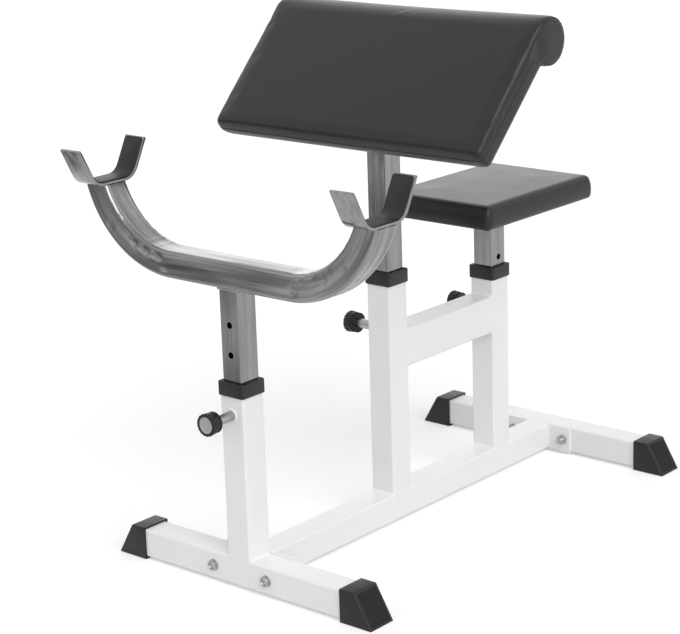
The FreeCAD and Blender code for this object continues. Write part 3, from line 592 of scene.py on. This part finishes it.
# bent bar rack: its arms are cut level right under the middles of the hooks
RACK_DEPTH = 50
RACK_HEIGHT = 46
RACK_CORNER = 6.5
RACK_WALL = 2
RACK_BEND = 170
RACK_ANGLE = math.radians(71)
RACK_STEPS = 72
RACK_BASE = bottom("rack_u_tube")
RACK_TOP = top("rack_u_tube")
HOOK_X = middle("bar_hook_right").x
RACK_CUT = RACK_TOP - RACK_BASE - RACK_HEIGHT / 2
RACK_RUN = (RACK_CUT - RACK_BEND * (1 - math.cos(RACK_ANGLE))) / math.sin(RACK_ANGLE)
RACK_HALF_FLAT = HOOK_X - RACK_BEND * math.sin(RACK_ANGLE) - RACK_RUN * math.cos(RACK_ANGLE)
# folds on the inside of the bend: depth, and in degrees where they start and end and how wide they are
CRINKLE = 0.35
CRINKLE_START = 10
CRINKLE_END = 62
CRINKLE_TURN = 2.96
DENT_SPOT = 3.2
DENT_REACH = 10
# turn along the bend in degrees, distance out from its middle line, depth
DENTS = ((3, 5, 0.6), (8, -12, 0.9), (12, -15, 0.7), (17, -11, 1.0), (21, -14, 0.9), (27, -10, 0.8),
         (33, -14, 0.7), (47, 4, 0.4))


def crinkled(p):
    """Points on the inside of the bend, where the wall gathers in short folds."""
    across = p.x - RACK_HALF_FLAT
    drop = RACK_BEND - p.z
    inside = math.hypot(across, drop) < RACK_BEND - RACK_HEIGHT / 2 + 1.5
    turn = math.degrees(math.atan2(across, drop))
    return inside and CRINKLE_START < turn < CRINKLE_END and int(turn / CRINKLE_TURN) % 3 == 0


def dent(turn, out, depth, side):
    """Press a shallow dent into the front (-1) or rear (1) wall of the bend."""
    angle = math.radians(turn)
    reach = RACK_BEND + out
    x = RACK_HALF_FLAT + reach * math.sin(angle)
    z = RACK_BEND - reach * math.cos(angle)
    spot = Vector((x, side * RACK_DEPTH / 2, z))
    pick_points(lambda p: (p - spot).length < DENT_SPOT)
    bpy.ops.transform.translate(
        value=(0, -side * depth * MM, 0), use_proportional_edit=True, use_proportional_connected=True,
        proportional_edit_falloff="SMOOTH", proportional_size=DENT_REACH * MM)


def along_and_across(p):
    """Distance along the bent tube's middle line, and the place across the tube."""
    across = abs(p.x) - RACK_HALF_FLAT
    drop = RACK_BEND - p.z
    turn = min(max(math.atan2(across, drop), 0), RACK_ANGLE)
    run = across * math.cos(turn) - drop * math.sin(turn)
    outwards = across * math.sin(turn) + drop * math.cos(turn) - RACK_BEND
    return Vector((math.copysign(RACK_HALF_FLAT + RACK_BEND * turn + run, p.x), p.y, outwards))


def keep_tube_places(tube):
    kept = tube.data.attributes.new("tube_place", "FLOAT_VECTOR", "POINT")
    for vertex, place in zip(tube.data.vertices, kept.data):
        place.vector = along_and_across(vertex.co / MM) * MM


def rack_tube():
    """The wide U, from a rounded section drawn out, spun round the bend and cut level."""
    tube = flat("rack_u_tube_bent", RACK_HEIGHT, RACK_DEPTH, (0, 90, 0))
    centre = (RACK_HALF_FLAT * MM, 0, RACK_BEND * MM)
    edit(tube)
    pick_all()
    bpy.ops.mesh.bevel(offset=RACK_CORNER * MM, segments=6, affect="VERTICES")
    pick_edges(lambda a, b: (a - b).length > 20)
    bpy.ops.mesh.subdivide(number_cuts=11)
    pick_all()
    bpy.ops.mesh.delete(type="ONLY_FACE")
    pick_all()
    extrude(x=RACK_HALF_FLAT)
    bpy.ops.mesh.spin(steps=RACK_STEPS, angle=RACK_ANGLE, center=centre, axis=(0, 1, 0))
    extrude(x=RACK_HEIGHT * math.cos(RACK_ANGLE), z=RACK_HEIGHT * math.sin(RACK_ANGLE))
    pick_points(crinkled)
    gather = 1 - CRINKLE / (RACK_BEND - RACK_HEIGHT / 2)
    bpy.ops.transform.resize(value=(gather, 1, gather), center_override=centre)
    for place in DENTS:
        dent(*place, -1)
        dent(*place, 1)
    pick_all()
    bpy.ops.mesh.bisect(plane_co=(0, 0, RACK_CUT * MM), plane_no=(0, 0, 1), clear_outer=True)
    leave()
    mirror(tube, True, False, False)
    apply_modifier(tube, "SOLIDIFY", thickness=RACK_WALL * MM, offset=-1.0)
    keep_tube_places(tube)
    settle(tube, (0, FRONT_Y, RACK_BASE + RACK_HEIGHT / 2))
    finish_piece(smooth(tube, 40), CHROME_BENT, "rack", "rack_u_tube")


# bar hooks
HOOK_HALF_FLAT = 24
HOOK_ANGLE = math.radians(63)
HOOK_THICKNESS = 5
LINER_THICKNESS = 2
STRIP_EDGE = 0.6


def bent_strip(name, width, thickness, bend, leg, corner):
    """A strip along Y, bent up at both ends; its middle line starts at the origin."""
    strip = flat(name, width, thickness, (90, 0, 0))
    edit(strip)
    pick_all()
    extrude(y=HOOK_HALF_FLAT)
    bpy.ops.mesh.spin(
        steps=16, angle=HOOK_ANGLE, center=(0, HOOK_HALF_FLAT * MM, bend * MM), axis=(-1, 0, 0))
    extrude(y=leg * math.cos(HOOK_ANGLE), z=leg * math.sin(HOOK_ANGLE))
    end = HOOK_HALF_FLAT + bend * math.sin(HOOK_ANGLE) + (leg - 4) * math.cos(HOOK_ANGLE)
    pick_edges(lambda a, b: a.y > end and b.y > end and (a - b).length < thickness * 1.1)
    bevel(corner, 6)
    pick_faces(lambda p, n: abs(p.y) < 0.01 and abs(n.y) > 0.9)
    bpy.ops.mesh.delete(type="FACE")
    leave()
    mirror(strip, False, True, False)
    edit(strip)
    pick_sharp(50)
    bevel(STRIP_EDGE, 2)
    leave()
    return smooth(strip, 30)


def bar_hooks():
    """A plated strip on each arm of the rack, lined with rubber."""
    hook = bent_strip("hook", 45, HOOK_THICKNESS, bend=30, leg=52, corner=6)
    liner = bent_strip("liner", 41, LINER_THICKNESS, bend=26.5, leg=50, corner=5)
    hook_level = RACK_TOP + HOOK_THICKNESS / 2
    liner_level = RACK_TOP + HOOK_THICKNESS + LINER_THICKNESS / 2
    for side, x in (("left", -HOOK_X), ("right", HOOK_X)):
        strip = settle(copy_of(hook, f"bar_hook_{side}_strip"), (x, FRONT_Y, hook_level))
        finish_piece(strip, CHROME_UPRIGHT, "rack", f"bar_hook_{side}")
        lining = settle(copy_of(liner, f"bar_hook_liner_{side}_strip"), (x, FRONT_Y, liner_level))
        finish_piece(lining, RUBBER, "rack", f"bar_hook_liner_{side}")
    discard(hook, liner)


# pull pins: heights are distances outwards from the face of the post
KNOB_BACK = 41
KNOB_FRONT = 62
KNOB_RADIUS = 17.75
KNOB_FACE_RADIUS = 13.8
KNOB_BORE = 9.4
KNOB_HOLLOW = 14
KNOB_SINK = 1.6
KNOB_GROOVE = 1.0
DISC_BACK = KNOB_FRONT - 1.5
DISC_FRONT = KNOB_FRONT - 0.5
PIN_WELD_RADIUS = 9.2
PIN_WELD_SIZE = 2.4
PIN_WELD_RIPPLE = (1.04, 1.04, 1.12)
PIN_PLACES = {
    "rack": ((0, FRONT_Y - TUBE_HALF, middle("rack_pin_knob").z), (90, 0, 0)),
    "arm_pad": ((-TUBE_HALF, ARM_Y, middle("arm_pad_pin_knob").z), (0, -90, 0)),
    "seat": ((-TUBE_HALF, SEAT_Y, middle("seat_pin_knob").z), (0, -90, 0)),
}


def knob_body():
    """Moulded knob along Z: ribbed grip, rim round a sunk face, hollow behind."""
    knob = round_bar("knob", KNOB_RADIUS, KNOB_BACK, KNOB_FRONT, 72)

    def groove(p, n):
        turn = math.degrees(math.atan2(p.y, p.x)) % 360
        return abs(n.z) < 0.1 and math.hypot(p.x, p.y) > KNOB_RADIUS - 1 and int(turn / 5) % 4 < 2

    def on_rim(a, b):
        level = abs(a.z - b.z) < 0.01 and a.z > KNOB_FRONT - 0.1
        return level and min(math.hypot(a.x, a.y), math.hypot(b.x, b.y)) > KNOB_FACE_RADIUS - 0.3

    edit(knob)
    pick_faces(lambda p, n: n.z > 0.9)
    inset(KNOB_RADIUS - KNOB_FACE_RADIUS)
    extrude(z=-KNOB_SINK)
    pick_faces(lambda p, n: n.z < -0.9)
    inset(KNOB_RADIUS - KNOB_BORE)
    extrude(z=KNOB_HOLLOW)
    pick_faces(groove)
    inset(0.45, -KNOB_GROOVE)
    pick_edges(on_rim)
    bevel(0.8)
    leave()
    return smooth(knob)


def knob_disc():
    """Bare pressed disc in the knob's face, with a shallow ring."""
    disc = round_bar("disc", KNOB_FACE_RADIUS - 0.1, DISC_BACK, DISC_FRONT, 64)
    edit(disc)
    pick_faces(lambda p, n: n.z > 0.9)
    inset(1.0, 0.25)
    inset(1.6)
    inset(0.5, -0.35)
    leave()
    return smooth(disc, 25)


def pin_weld():
    """Rippled weld round the barrel's root."""
    bpy.ops.object.select_all(action="DESELECT")
    bpy.ops.mesh.primitive_torus_add(
        major_radius=PIN_WELD_RADIUS * MM, minor_radius=PIN_WELD_SIZE * MM,
        major_segments=60, minor_segments=14)
    ring = bpy.context.object
    edit(ring)
    pick_points(lambda p: int(math.degrees(math.atan2(p.y, p.x)) % 360 / 6) % 3 == 0)
    bpy.ops.transform.resize(value=PIN_WELD_RIPPLE)
    leave()
    return smooth(ring, 60)


def pull_pins():
    knob = knob_body()
    disc = knob_disc()
    ring = pin_weld()
    for prefix, (place, turn) in PIN_PLACES.items():
        grip = settle(copy_of(knob, f"{prefix}_pin_knob_grip"), place, turn)
        finish_piece(grip, PLASTIC, f"{prefix}_pin", f"{prefix}_pin_knob")
        face = settle(copy_of(disc, f"{prefix}_pin_knob_disc"), place, turn)
        finish_piece(face, ZINC, f"{prefix}_pin")
        weld = settle(copy_of(ring, f"{prefix}_pin_weld"), place, turn)
        finish_piece(weld, POWDER, "frame")
    discard(knob, disc, ring)


# bolts, nuts and screws
BOLT_X = 59
BOLT_LENGTH = 67
BOLT_FLATS = 17
NUT_HEIGHT = 8
SCREW_FLATS = 13
BOLT_LEVEL = middle("base_bolts").z


def hexagon(name, across_flats, height):
    """Hexagon standing on Z = 0, its upper corners turned off to a circle."""
    corner = across_flats / math.sqrt(3)
    piece = round_bar(name, corner, 0, height, 6)
    edit(piece)
    pick_edges(lambda a, b: min(a.z, b.z) > height - 0.01)
    bpy.ops.mesh.subdivide(number_cuts=5)
    pick_faces(lambda p, n: n.z > 0.9)
    inset(0.05 * across_flats)
    bpy.ops.transform.tosphere(value=1.0)
    pick_points(lambda p: p.z > height - 0.01 and math.hypot(p.x, p.y) > across_flats / 2 - 0.05)
    shift(z=-0.07 * across_flats)
    leave()
    return piece


def shank(name, radius, length, thread):
    """Shank down from Z = 0, with the ridges of its thread at the end; they are drawn 2 mm apart."""
    bar = round_bar(name, radius, -length, 0, 24)
    edit(bar)
    pick_edges(lambda a, b: abs(a.z - b.z) > 1)
    bpy.ops.mesh.subdivide(number_cuts=int(length) - 1)
    pick_points(lambda p: -length + 0.5 < p.z < thread - length and round(p.z) % 2 == 0)
    bpy.ops.transform.resize(value=(0.9, 0.9, 1))
    pick_faces(lambda p, n: n.z < -0.9)
    bpy.ops.transform.resize(value=(0.86, 0.86, 1))
    leave()
    return bar


def washer_face(radius, height):
    """Round collar under a head."""
    collar = round_bar("collar", radius, 0, height, 48)
    edit(collar)
    pick_edges(lambda a, b: min(a.z, b.z) > height - 0.01)
    bevel(0.6, 2)
    leave()
    return collar


def bolt(name, across_flats, height, radius, length, thread):
    """Bolt with a dished hexagon head on Z = 0 and its shank below."""
    head = hexagon(name, across_flats, height)
    edit(head)
    pick_faces(lambda p, n: n.z > 0.9 and p.z > height - 0.01)
    inset(0.1 * across_flats)
    inset(0.07 * across_flats, -0.4 * height)
    leave()
    collar = washer_face(0.6 * across_flats, 0.25 * height)
    return smooth(join([head, collar, shank("shank", radius, length, thread)], name), 30)


def base_fasteners():
    """Heads on the outer sides of the foot tubes, nuts on the flanges."""
    ends = [(x, foot, out) for x in (-BOLT_X, BOLT_X) for foot, out in ((FRONT_Y, -1), (REAR_Y, 1))]
    pattern = bolt("bolt", BOLT_FLATS, height=6.4, radius=5, length=BOLT_LENGTH, thread=16)
    bolts = copies_of(pattern, "base_bolts_headed", [
        ((x, foot + out * TUBE_HALF, BOLT_LEVEL), (-90 * out, 0, 0)) for x, foot, out in ends])
    finish_piece(bolts, ZINC, "frame", "base_bolts")
    nut = smooth(hexagon("nut", BOLT_FLATS, NUT_HEIGHT), 30)
    nuts = copies_of(nut, "base_nuts_chamfered", [
        ((x, foot - out * (TUBE_HALF + FLANGE), BOLT_LEVEL), (90 * out, 0, 0)) for x, foot, out in ends])
    finish_piece(nuts, ZINC, "frame", "base_nuts")


def pad_screws():
    """Heads under the plates of both pads."""
    for prefix, (axes, half_x, half_y) in SCREW_PLACES.items():
        corners = [((x, y, 0), (180, 0, 0)) for x in (-half_x, half_x) for y in (-half_y, half_y)]
        pattern = bolt("screw", SCREW_FLATS, height=5.3, radius=4, length=14, thread=8)
        screws = copies_of(pattern, f"{prefix}_screws_headed", corners)
        finish_piece(carry(screws, axes), ZINC, prefix, f"{prefix}_screws")


# welds
WELD_PITCH = 2.6
WELD_LAP = 0.85
FILLET = 2.8
LOW_BEAD = 2.4
BEAD_SINK = 1.7


def weld_row(start, end, size=FILLET):
    """A run of overlapping weld scales between two points."""
    run = Vector(end) - Vector(start)
    count = max(2, round(run.length / WELD_PITCH))
    sides = [size * (WELD_LAP if abs(part) > 0.5 * run.length else 1.0) for part in run]
    bpy.ops.object.select_all(action="DESELECT")
    bpy.ops.mesh.primitive_ico_sphere_add(subdivisions=2, radius=1)
    row = settle(start_piece("weld", sides))
    apply_modifier(row, "ARRAY", count=count + 1, use_relative_offset=False, use_constant_offset=True,
                   constant_offset_displace=run / count * MM)
    return settle(row, start)


def frame_welds():
    """Fillets in the corners, low beads where two tubes are flush."""
    rows = []
    run = TUBE_HALF - TUBE_CORNER
    seam = FOOT_TOP - 1
    foot_side = (FOOT_TOP - 2 * TUBE_HALF + TUBE_CORNER, FOOT_TOP - TUBE_CORNER)
    low = bottom("post_cross_member")
    high = top("post_cross_member")
    member_side = (low + TUBE_CORNER, high - TUBE_CORNER)
    for side in (-1, 1):
        edge = side * TUBE_HALF
        flush = side * (TUBE_HALF - BEAD_SINK)
        rows.append(weld_row((edge, FRONT_Y - run, FOOT_TOP), (edge, FRONT_Y + run, FOOT_TOP)))
        rows.append(weld_row((-run, FRONT_Y + flush, seam), (run, FRONT_Y + flush, seam), LOW_BEAD))
        for post in (ARM_Y, SEAT_Y):
            rows.append(weld_row((-run, post + edge, FOOT_TOP), (run, post + edge, FOOT_TOP)))
            rows.append(weld_row((flush, post - run, seam), (flush, post + run, seam), LOW_BEAD))
        for face in (ARM_Y + TUBE_HALF, SEAT_Y - TUBE_HALF):
            level = high if side > 0 else low
            rows.append(weld_row((-run, face, level), (run, face, level)))
            rows.append(weld_row((flush, face, member_side[0]), (flush, face, member_side[1]), LOW_BEAD))
        for face in (FRONT_Y + TUBE_HALF + FLANGE, REAR_Y - TUBE_HALF - FLANGE):
            rows.append(weld_row((edge, face, foot_side[0]), (edge, face, foot_side[1])))
    finish_piece(smooth(join(rows, "frame_welds"), 60), POWDER, "frame")


def tube_end(y, front, rear):
    """Corners of an inner tube's upper end, by its heights at the front and the rear."""
    return [(-INNER_HALF, y - INNER_HALF, front), (INNER_HALF, y - INNER_HALF, front),
            (INNER_HALF, y + INNER_HALF, rear), (-INNER_HALF, y + INNER_HALF, rear)]


def weld_ring(name, corners, material, body):
    """Low beads from corner to corner round a tube's end."""
    rows = [weld_row(corners[side], corners[(side + 1) % 4], LOW_BEAD) for side in range(4)]
    finish_piece(smooth(join(rows, name), 60), material, body)


def carried_welds():
    """Welds on top of the three inner tubes; the arm pad's is cut to the pad's slope."""
    seat_level = bottom("seat_plate")
    slope_top = top("arm_pad_inner_tube")
    slope_foot = slope_top - 2 * INNER_HALF
    weld_ring("rack_welds", tube_end(FRONT_Y, RACK_BASE, RACK_BASE), CHROME_UPRIGHT, "rack")
    weld_ring("seat_welds", tube_end(SEAT_Y, seat_level, seat_level), ENAMEL, "seat")
    weld_ring("arm_pad_welds", tube_end(ARM_Y, slope_foot, slope_top), ENAMEL, "arm_pad")


# padded covers
COVER_VOXEL = 4.5
SHRINK = 0.5
SWELL_MOST = 3
SWELL_AT_SIDES = 0.4
SWELL_RISE = 100
SWELL_FRAMES = 20
HEM_STRIP = 26
HEM_PUCKER = 17
HEM_SINK = 0.9
HEM_THICKNESS = 1.5
HEM_DROP = 0.7
STAPLE = (11, 1.4, 0.8)
STAPLE_SLANT = 8
STAPLE_STEP = 42
STAPLE_INSET = 14
STAPLE_DROP = 1.7


def axes_at(x, y, z, slope=0.0):
    """Matrix of a pad's own axes: X across, Y along it, Z out of its face."""
    return Matrix.Translation(Vector((x, y, z)) * MM) @ Matrix.Rotation(math.radians(slope), 4, "X")


PAD_SLOPE = 45
PAD_WIDTH = 576
PAD_DEPTH = 42
PAD_ROLL_START = 205
PAD_LOW_END = -122.5
BOARD_SHOWS = 0.5
ARM_BOARD_LEVEL = 766
ARM_PLATE = 4
ARM_BOARD = axes_at(0, ARM_Y, ARM_BOARD_LEVEL, PAD_SLOPE)
ARM_SCREWS = ARM_BOARD @ axes_at(0, 0, -ARM_PLATE)
PAD = ARM_BOARD @ axes_at(0, PAD_LOW_END, PAD_DEPTH + BOARD_SHOWS)
SEAT_DEPTH = top("seat_cushion") - bottom("seat_cushion")
SEAT_WIDTH = 243
SEAT_LENGTH = 330
SEAT = axes_at(0, SEAT_Y, top("seat_cushion"))
SEAT_SCREWS = axes_at(0, SEAT_Y, bottom("seat_plate"))
# axes of each pad's screws, and their distance from the middle across and along the pad
SCREW_PLACES = {"arm_pad": (ARM_SCREWS, 40, 53), "seat": (SEAT_SCREWS, 45, 75)}


def cover_from(node, name, axes):
    """A closed skin over a CAD cushion, in even small faces, on the pad's own axes.

    The copy sheds what ties the CAD node to its body.
    """
    skin = copy_of(nodes[node], name)
    skin.parent = None
    for key in list(skin.keys()):
        del skin[key]
    carry(skin, axes.inverted())
    merge_and_face_outwards(skin)
    skin.data.materials.clear()
    apply_modifier(skin, "REMESH", mode="VOXEL", voxel_size=COVER_VOXEL * MM)
    return skin


def swell(skin, on_board, give, pressure):
    """Blow the skin out like a cover over foam, held on its board, and no further than give says."""
    held = [vertex.index for vertex in skin.data.vertices if on_board(vertex.co / MM)]
    group = skin.vertex_groups.new(name="held")
    group.add(held, 1.0, "REPLACE")
    free = set(range(len(skin.data.vertices))) - set(held)
    for index in free:
        vertex = skin.data.vertices[index]
        vertex.co -= vertex.normal * SHRINK * MM
    rest = [vertex.co.copy() for vertex in skin.data.vertices]
    alone(skin)
    cloth = skin.modifiers.new("Cover", "CLOTH")
    cloth.settings.quality = 6
    cloth.settings.mass = 0.4
    cloth.settings.tension_stiffness = 40
    cloth.settings.compression_stiffness = 40
    cloth.settings.shear_stiffness = 20
    cloth.settings.bending_stiffness = 20
    cloth.settings.use_pressure = True
    cloth.settings.uniform_pressure_force = pressure
    cloth.settings.vertex_group_mass = "held"
    cloth.settings.effector_weights.gravity = 0
    cloth.collision_settings.use_collision = False
    cloth.point_cache.frame_start = 1
    cloth.point_cache.frame_end = SWELL_FRAMES
    for number in range(1, SWELL_FRAMES + 1):
        bpy.context.scene.frame_set(number)
    bpy.ops.object.modifier_apply(modifier="Cover")
    bpy.context.scene.frame_set(1)
    for vertex, start in zip(skin.data.vertices, rest):
        move = vertex.co - start
        cap = give(start / MM) * MM
        if move.length > cap:
            vertex.co = start + move * (cap / move.length)
    skin.vertex_groups.clear()


def welt(cover, name, place, normal, radius, kept):
    """A sewn edge: the cover's outline in a cutting plane, as a thin round welt."""
    line = copy_of(cover, name)
    edit(line)
    bpy.ops.mesh.select_mode(type="EDGE")
    pick_all()
    bpy.ops.mesh.bisect(plane_co=Vector(place) * MM, plane_no=normal)
    bpy.ops.mesh.duplicate()
    bpy.ops.mesh.select_all(action="INVERT")
    bpy.ops.mesh.delete(type="VERT")
    pick_points(lambda p: not kept(p))
    bpy.ops.mesh.delete(type="VERT")
    pick_all()
    bpy.ops.mesh.remove_doubles(threshold=1.2 * MM)
    bpy.ops.mesh.vertices_smooth(factor=0.5, repeat=3)
    leave()
    alone(line)
    bpy.ops.object.convert(target="CURVE")
    line = bpy.context.object
    line.data.bevel_depth = radius * MM
    line.data.bevel_resolution = 2
    line.data.use_fill_caps = True
    bpy.ops.object.convert(target="MESH")
    return smooth(bpy.context.object, 60)


def hem(width, length):
    """Border of the cover turned in under the board, puckered along its inner edge."""
    ring = flat("hem", width, length)
    edit(ring)
    pick_all()
    inset(HEM_STRIP)
    bpy.ops.mesh.delete(type="FACE")
    pick_all()
    bpy.ops.mesh.subdivide(number_cuts=10)
    inner_x = width / 2 - HEM_STRIP
    inner_y = length / 2 - HEM_STRIP
    pick_points(lambda p: abs(p.x) < inner_x + 0.1 and abs(p.y) < inner_y + 0.1
                and (int(abs(p.x) / HEM_PUCKER) + int(abs(p.y) / HEM_PUCKER)) % 2 == 0)
    shift(z=-HEM_SINK)
    leave()
    apply_modifier(ring, "SOLIDIFY", thickness=HEM_THICKNESS * MM, offset=0.0)
    return smooth(ring, 50)


def staples(name, half_x, half_y):
    """Staple crowns in the hem, along its four sides."""
    pattern = block("staple", STAPLE)
    edit(pattern)
    pick_sharp(60)
    bevel(0.35, 2)
    leave()
    across = int(half_x / STAPLE_STEP)
    along = int(half_y / STAPLE_STEP)
    places = []
    for side in (-1, 1):
        slant = side * STAPLE_SLANT
        for number in range(-across, across + 1):
            places.append(((number * STAPLE_STEP, side * half_y, 0), (0, 0, slant)))
        for number in range(-along, along + 1):
            places.append(((side * half_x, number * STAPLE_STEP, 0), (0, 0, 90 + slant)))
    return copies_of(smooth(pattern, 40), name, places)


def pad_cover(prefix, axes, on_board, give, pressure, welts, hem_size, hem_middle, underside):
    """Cover, welts, hem and staples of one pad, made on the pad's own axes and then carried to it."""
    skin = cover_from(f"{prefix}_cushion", f"{prefix}_cover", axes)
    swell(skin, on_board, give, pressure)
    apply_modifier(skin, "SUBSURF", levels=1, render_levels=1)
    smooth(skin, 80)
    lines = [welt(skin, f"{prefix}_welt", *one) for one in welts]
    border = settle(hem(*hem_size), (0, hem_middle, underside - HEM_DROP))
    cover = carry(join([skin, border], f"{prefix}_cover"), axes)
    finish_piece(cover, VINYL, prefix, f"{prefix}_cushion")
    finish_piece(carry(join(lines, f"{prefix}_welts"), axes), VINYL, prefix)
    half_x, half_y = (side / 2 - STAPLE_INSET for side in hem_size)
    wires = settle(staples(f"{prefix}_staples", half_x, half_y), (0, hem_middle, underside - STAPLE_DROP))
    finish_piece(carry(wires, axes), ZINC, prefix)


def arm_pad_cover():
    end = PAD_WIDTH / 2 - 3.5
    board_half = 271
    board_low = 13
    board_high = 199
    board_top = -26
    hem_size = (554, 194)
    hem_middle = 105

    def on_board(p):
        inside = abs(p.x) < board_half and board_low < p.y < board_high
        return (inside and p.z < board_top) or (p.z < 2 - PAD_DEPTH and 3 < p.y < PAD_ROLL_START)

    welts = [
        ((-end, 0, 0), (1, 0, 0), 1.2, lambda p: True),
        ((end, 0, 0), (1, 0, 0), 1.2, lambda p: True),
        ((0, 0, -0.45 * PAD_DEPTH), (0, 0, 1), 1.0, lambda p: p.y < PAD_ROLL_START),
    ]
    pad_cover("arm_pad", PAD, on_board, lambda p: SWELL_MOST, 1.5, welts, hem_size, hem_middle, -PAD_DEPTH)


def seat_cover():
    board_half_x = SEAT_WIDTH / 2 - 9
    board_half_y = SEAT_LENGTH / 2 - 9
    board_top = 15 - SEAT_DEPTH
    hem_size = (SEAT_WIDTH - 14, SEAT_LENGTH - 14)

    def on_board(p):
        inside = abs(p.x) < board_half_x and abs(p.y) < board_half_y
        return (inside and p.z < board_top) or p.z < 2.5 - SEAT_DEPTH

    def give(p):
        inwards = min(SEAT_WIDTH / 2 - abs(p.x), SEAT_LENGTH / 2 - abs(p.y))
        share = min(max(inwards, 0) / SWELL_RISE, 1)
        return SWELL_AT_SIDES + (SWELL_MOST - SWELL_AT_SIDES) * share * share * (3 - 2 * share)

    welts = [((0, 0, -7), (0, 0, 1), 0.9, lambda p: True)]
    pad_cover("seat", SEAT, on_board, give, 0.8, welts, hem_size, 0, -SEAT_DEPTH)


# studio, in metres and degrees
CAMERA_PLACE = (2.17985, -2.67379, 1.35181)
CAMERA_TURN = (74.107, 1.781, 40.330)
CAMERA_LENS = 108.09
FLOOR_SIDE = 60
FLOOR_LEVEL = -0.0005
FLOOR_LIFT = 0.4
SKY_LIGHT = 0.5
CARD_SIDES = (3.2, 0.8, 1)
CARD_PLACE = (-0.62, -1.15, 0.4)
CARD_TURN = (90, 0, -41)
CLOUD_SHIFT = (0, 0, 0.1)


def camera():
    data = bpy.data.cameras.new("camera")
    data.lens = CAMERA_LENS
    data.sensor_width = 36
    data.clip_end = 100
    seen_from = bpy.data.objects.new("camera", data)
    seen_from.location = CAMERA_PLACE
    seen_from.rotation_euler = [math.radians(angle) for angle in CAMERA_TURN]
    bpy.context.scene.collection.objects.link(seen_from)
    bpy.context.scene.camera = seen_from


def broad_lamp(name, towards, strength, spread):
    """Far, broad lamp that lights the floor as evenly as the bench."""
    data = bpy.data.lights.new(name, "SUN")
    data.energy = strength
    data.angle = math.radians(spread)
    lamp = bpy.data.objects.new(name, data)
    lamp.rotation_euler = (-Vector(towards)).to_track_quat("-Z", "Y").to_euler()
    bpy.context.scene.collection.objects.link(lamp)
    return lamp


def background_ray(owner):
    """1 for rays that should see a white background: straight, mirrored or through glass."""
    path = add_node(owner, "ShaderNodeLightPath")
    mirrored = add_node(owner, "ShaderNodeMath", {
        0: path.outputs["Is Camera Ray"], 1: path.outputs["Is Glossy Ray"]}, operation="MAXIMUM")
    seen = add_node(owner, "ShaderNodeMath", {
        0: mirrored.outputs["Value"], 1: path.outputs["Is Transmission Ray"]}, operation="MAXIMUM")
    return seen.outputs["Value"]


def world():
    sky = bpy.data.worlds.new("studio")
    bpy.context.scene.world = sky
    sky.use_nodes = True
    sky.node_tree.nodes.clear()
    dim = add_node(sky, "ShaderNodeBackground", {"Color": (1, 1, 1, 1), "Strength": SKY_LIGHT})
    white = add_node(sky, "ShaderNodeBackground", {"Color": (1, 1, 1, 1), "Strength": 1.0})
    mix = add_node(sky, "ShaderNodeMixShader", {
        0: background_ray(sky), 1: dim.outputs["Background"], 2: white.outputs["Background"]})
    add_node(sky, "ShaderNodeOutputWorld", {"Surface": mix.outputs["Shader"]})


def studio_floor():
    """White paper: its own colour keeps the shadow, and a background ray lifts it to white."""
    bpy.ops.object.select_all(action="DESELECT")
    bpy.ops.mesh.primitive_plane_add(size=FLOOR_SIDE, location=(0, 0, FLOOR_LEVEL))
    floor = bpy.context.object
    floor.name = "floor"
    material = bpy.data.materials.new("white_paper")
    material.use_nodes = True
    material.node_tree.nodes.clear()
    paper = add_node(material, "ShaderNodeBsdfDiffuse", {"Color": hex_colour("#DADADA")})
    level = add_node(material, "ShaderNodeMath", {
        0: background_ray(material), 1: FLOOR_LIFT}, operation="MULTIPLY")
    lift = add_node(material, "ShaderNodeEmission", {
        "Color": (1, 1, 1, 1), "Strength": level.outputs["Value"]})
    both = add_node(material, "ShaderNodeAddShader", {
        0: paper.outputs["BSDF"], 1: lift.outputs["Emission"]})
    add_node(material, "ShaderNodeOutputMaterial", {"Surface": both.outputs["Shader"]})
    dress(floor, material)


def grey_card():
    """Clouded card out of view at the front left, a studio's dark side that only reflections show."""
    bpy.ops.object.select_all(action="DESELECT")
    bpy.ops.mesh.primitive_plane_add(size=1)
    card = bpy.context.object
    card.name = "grey_card"
    card.scale = CARD_SIDES
    card.location = CARD_PLACE
    card.rotation_euler = [math.radians(angle) for angle in CARD_TURN]
    bpy.ops.object.transform_apply(location=True, rotation=True, scale=True)
    material = bpy.data.materials.new("grey_card")
    material.use_nodes = True
    material.node_tree.nodes.clear()
    place = add_node(material, "ShaderNodeTexCoord").outputs["Object"]
    moved = add_node(material, "ShaderNodeMapping", {"Vector": place, "Location": CLOUD_SHIFT})
    cloud = add_node(material, "ShaderNodeTexNoise", {
        "Vector": moved.outputs["Vector"], "Scale": per_mm(170), "Detail": 2.0})
    level = add_node(material, "ShaderNodeMapRange", {
        "Value": cloud.outputs["Fac"], "From Min": 0.36, "From Max": 0.64, "To Min": 0.2, "To Max": 0.95})
    tone = add_node(material, "ShaderNodeEmission", {
        "Color": (1, 1, 1, 1), "Strength": level.outputs["Result"]})
    add_node(material, "ShaderNodeOutputMaterial", {"Surface": tone.outputs["Emission"]})
    dress(card, material)
    card.visible_camera = False
    card.visible_diffuse = False
    card.visible_shadow = False


def studio():
    camera()
    world()
    studio_floor()
    grey_card()
    broad_lamp("key", (0.70, -0.30, 0.65), strength=1.85, spread=50)
    broad_lamp("back", (-0.63, 0.73, 0.27), strength=0.28, spread=40)
    fill = broad_lamp("fill", (-0.5, -0.8, 0.35), strength=0.42, spread=60)
    fill.visible_glossy = False
    bpy.context.scene.view_settings.view_transform = "Standard"


studio()
dress_nodes()
foot_caps()
post_bushes()
rack_tube()
bar_hooks()
pull_pins()
base_fasteners()
pad_screws()
frame_welds()
carried_welds()
arm_pad_cover()
seat_cover()
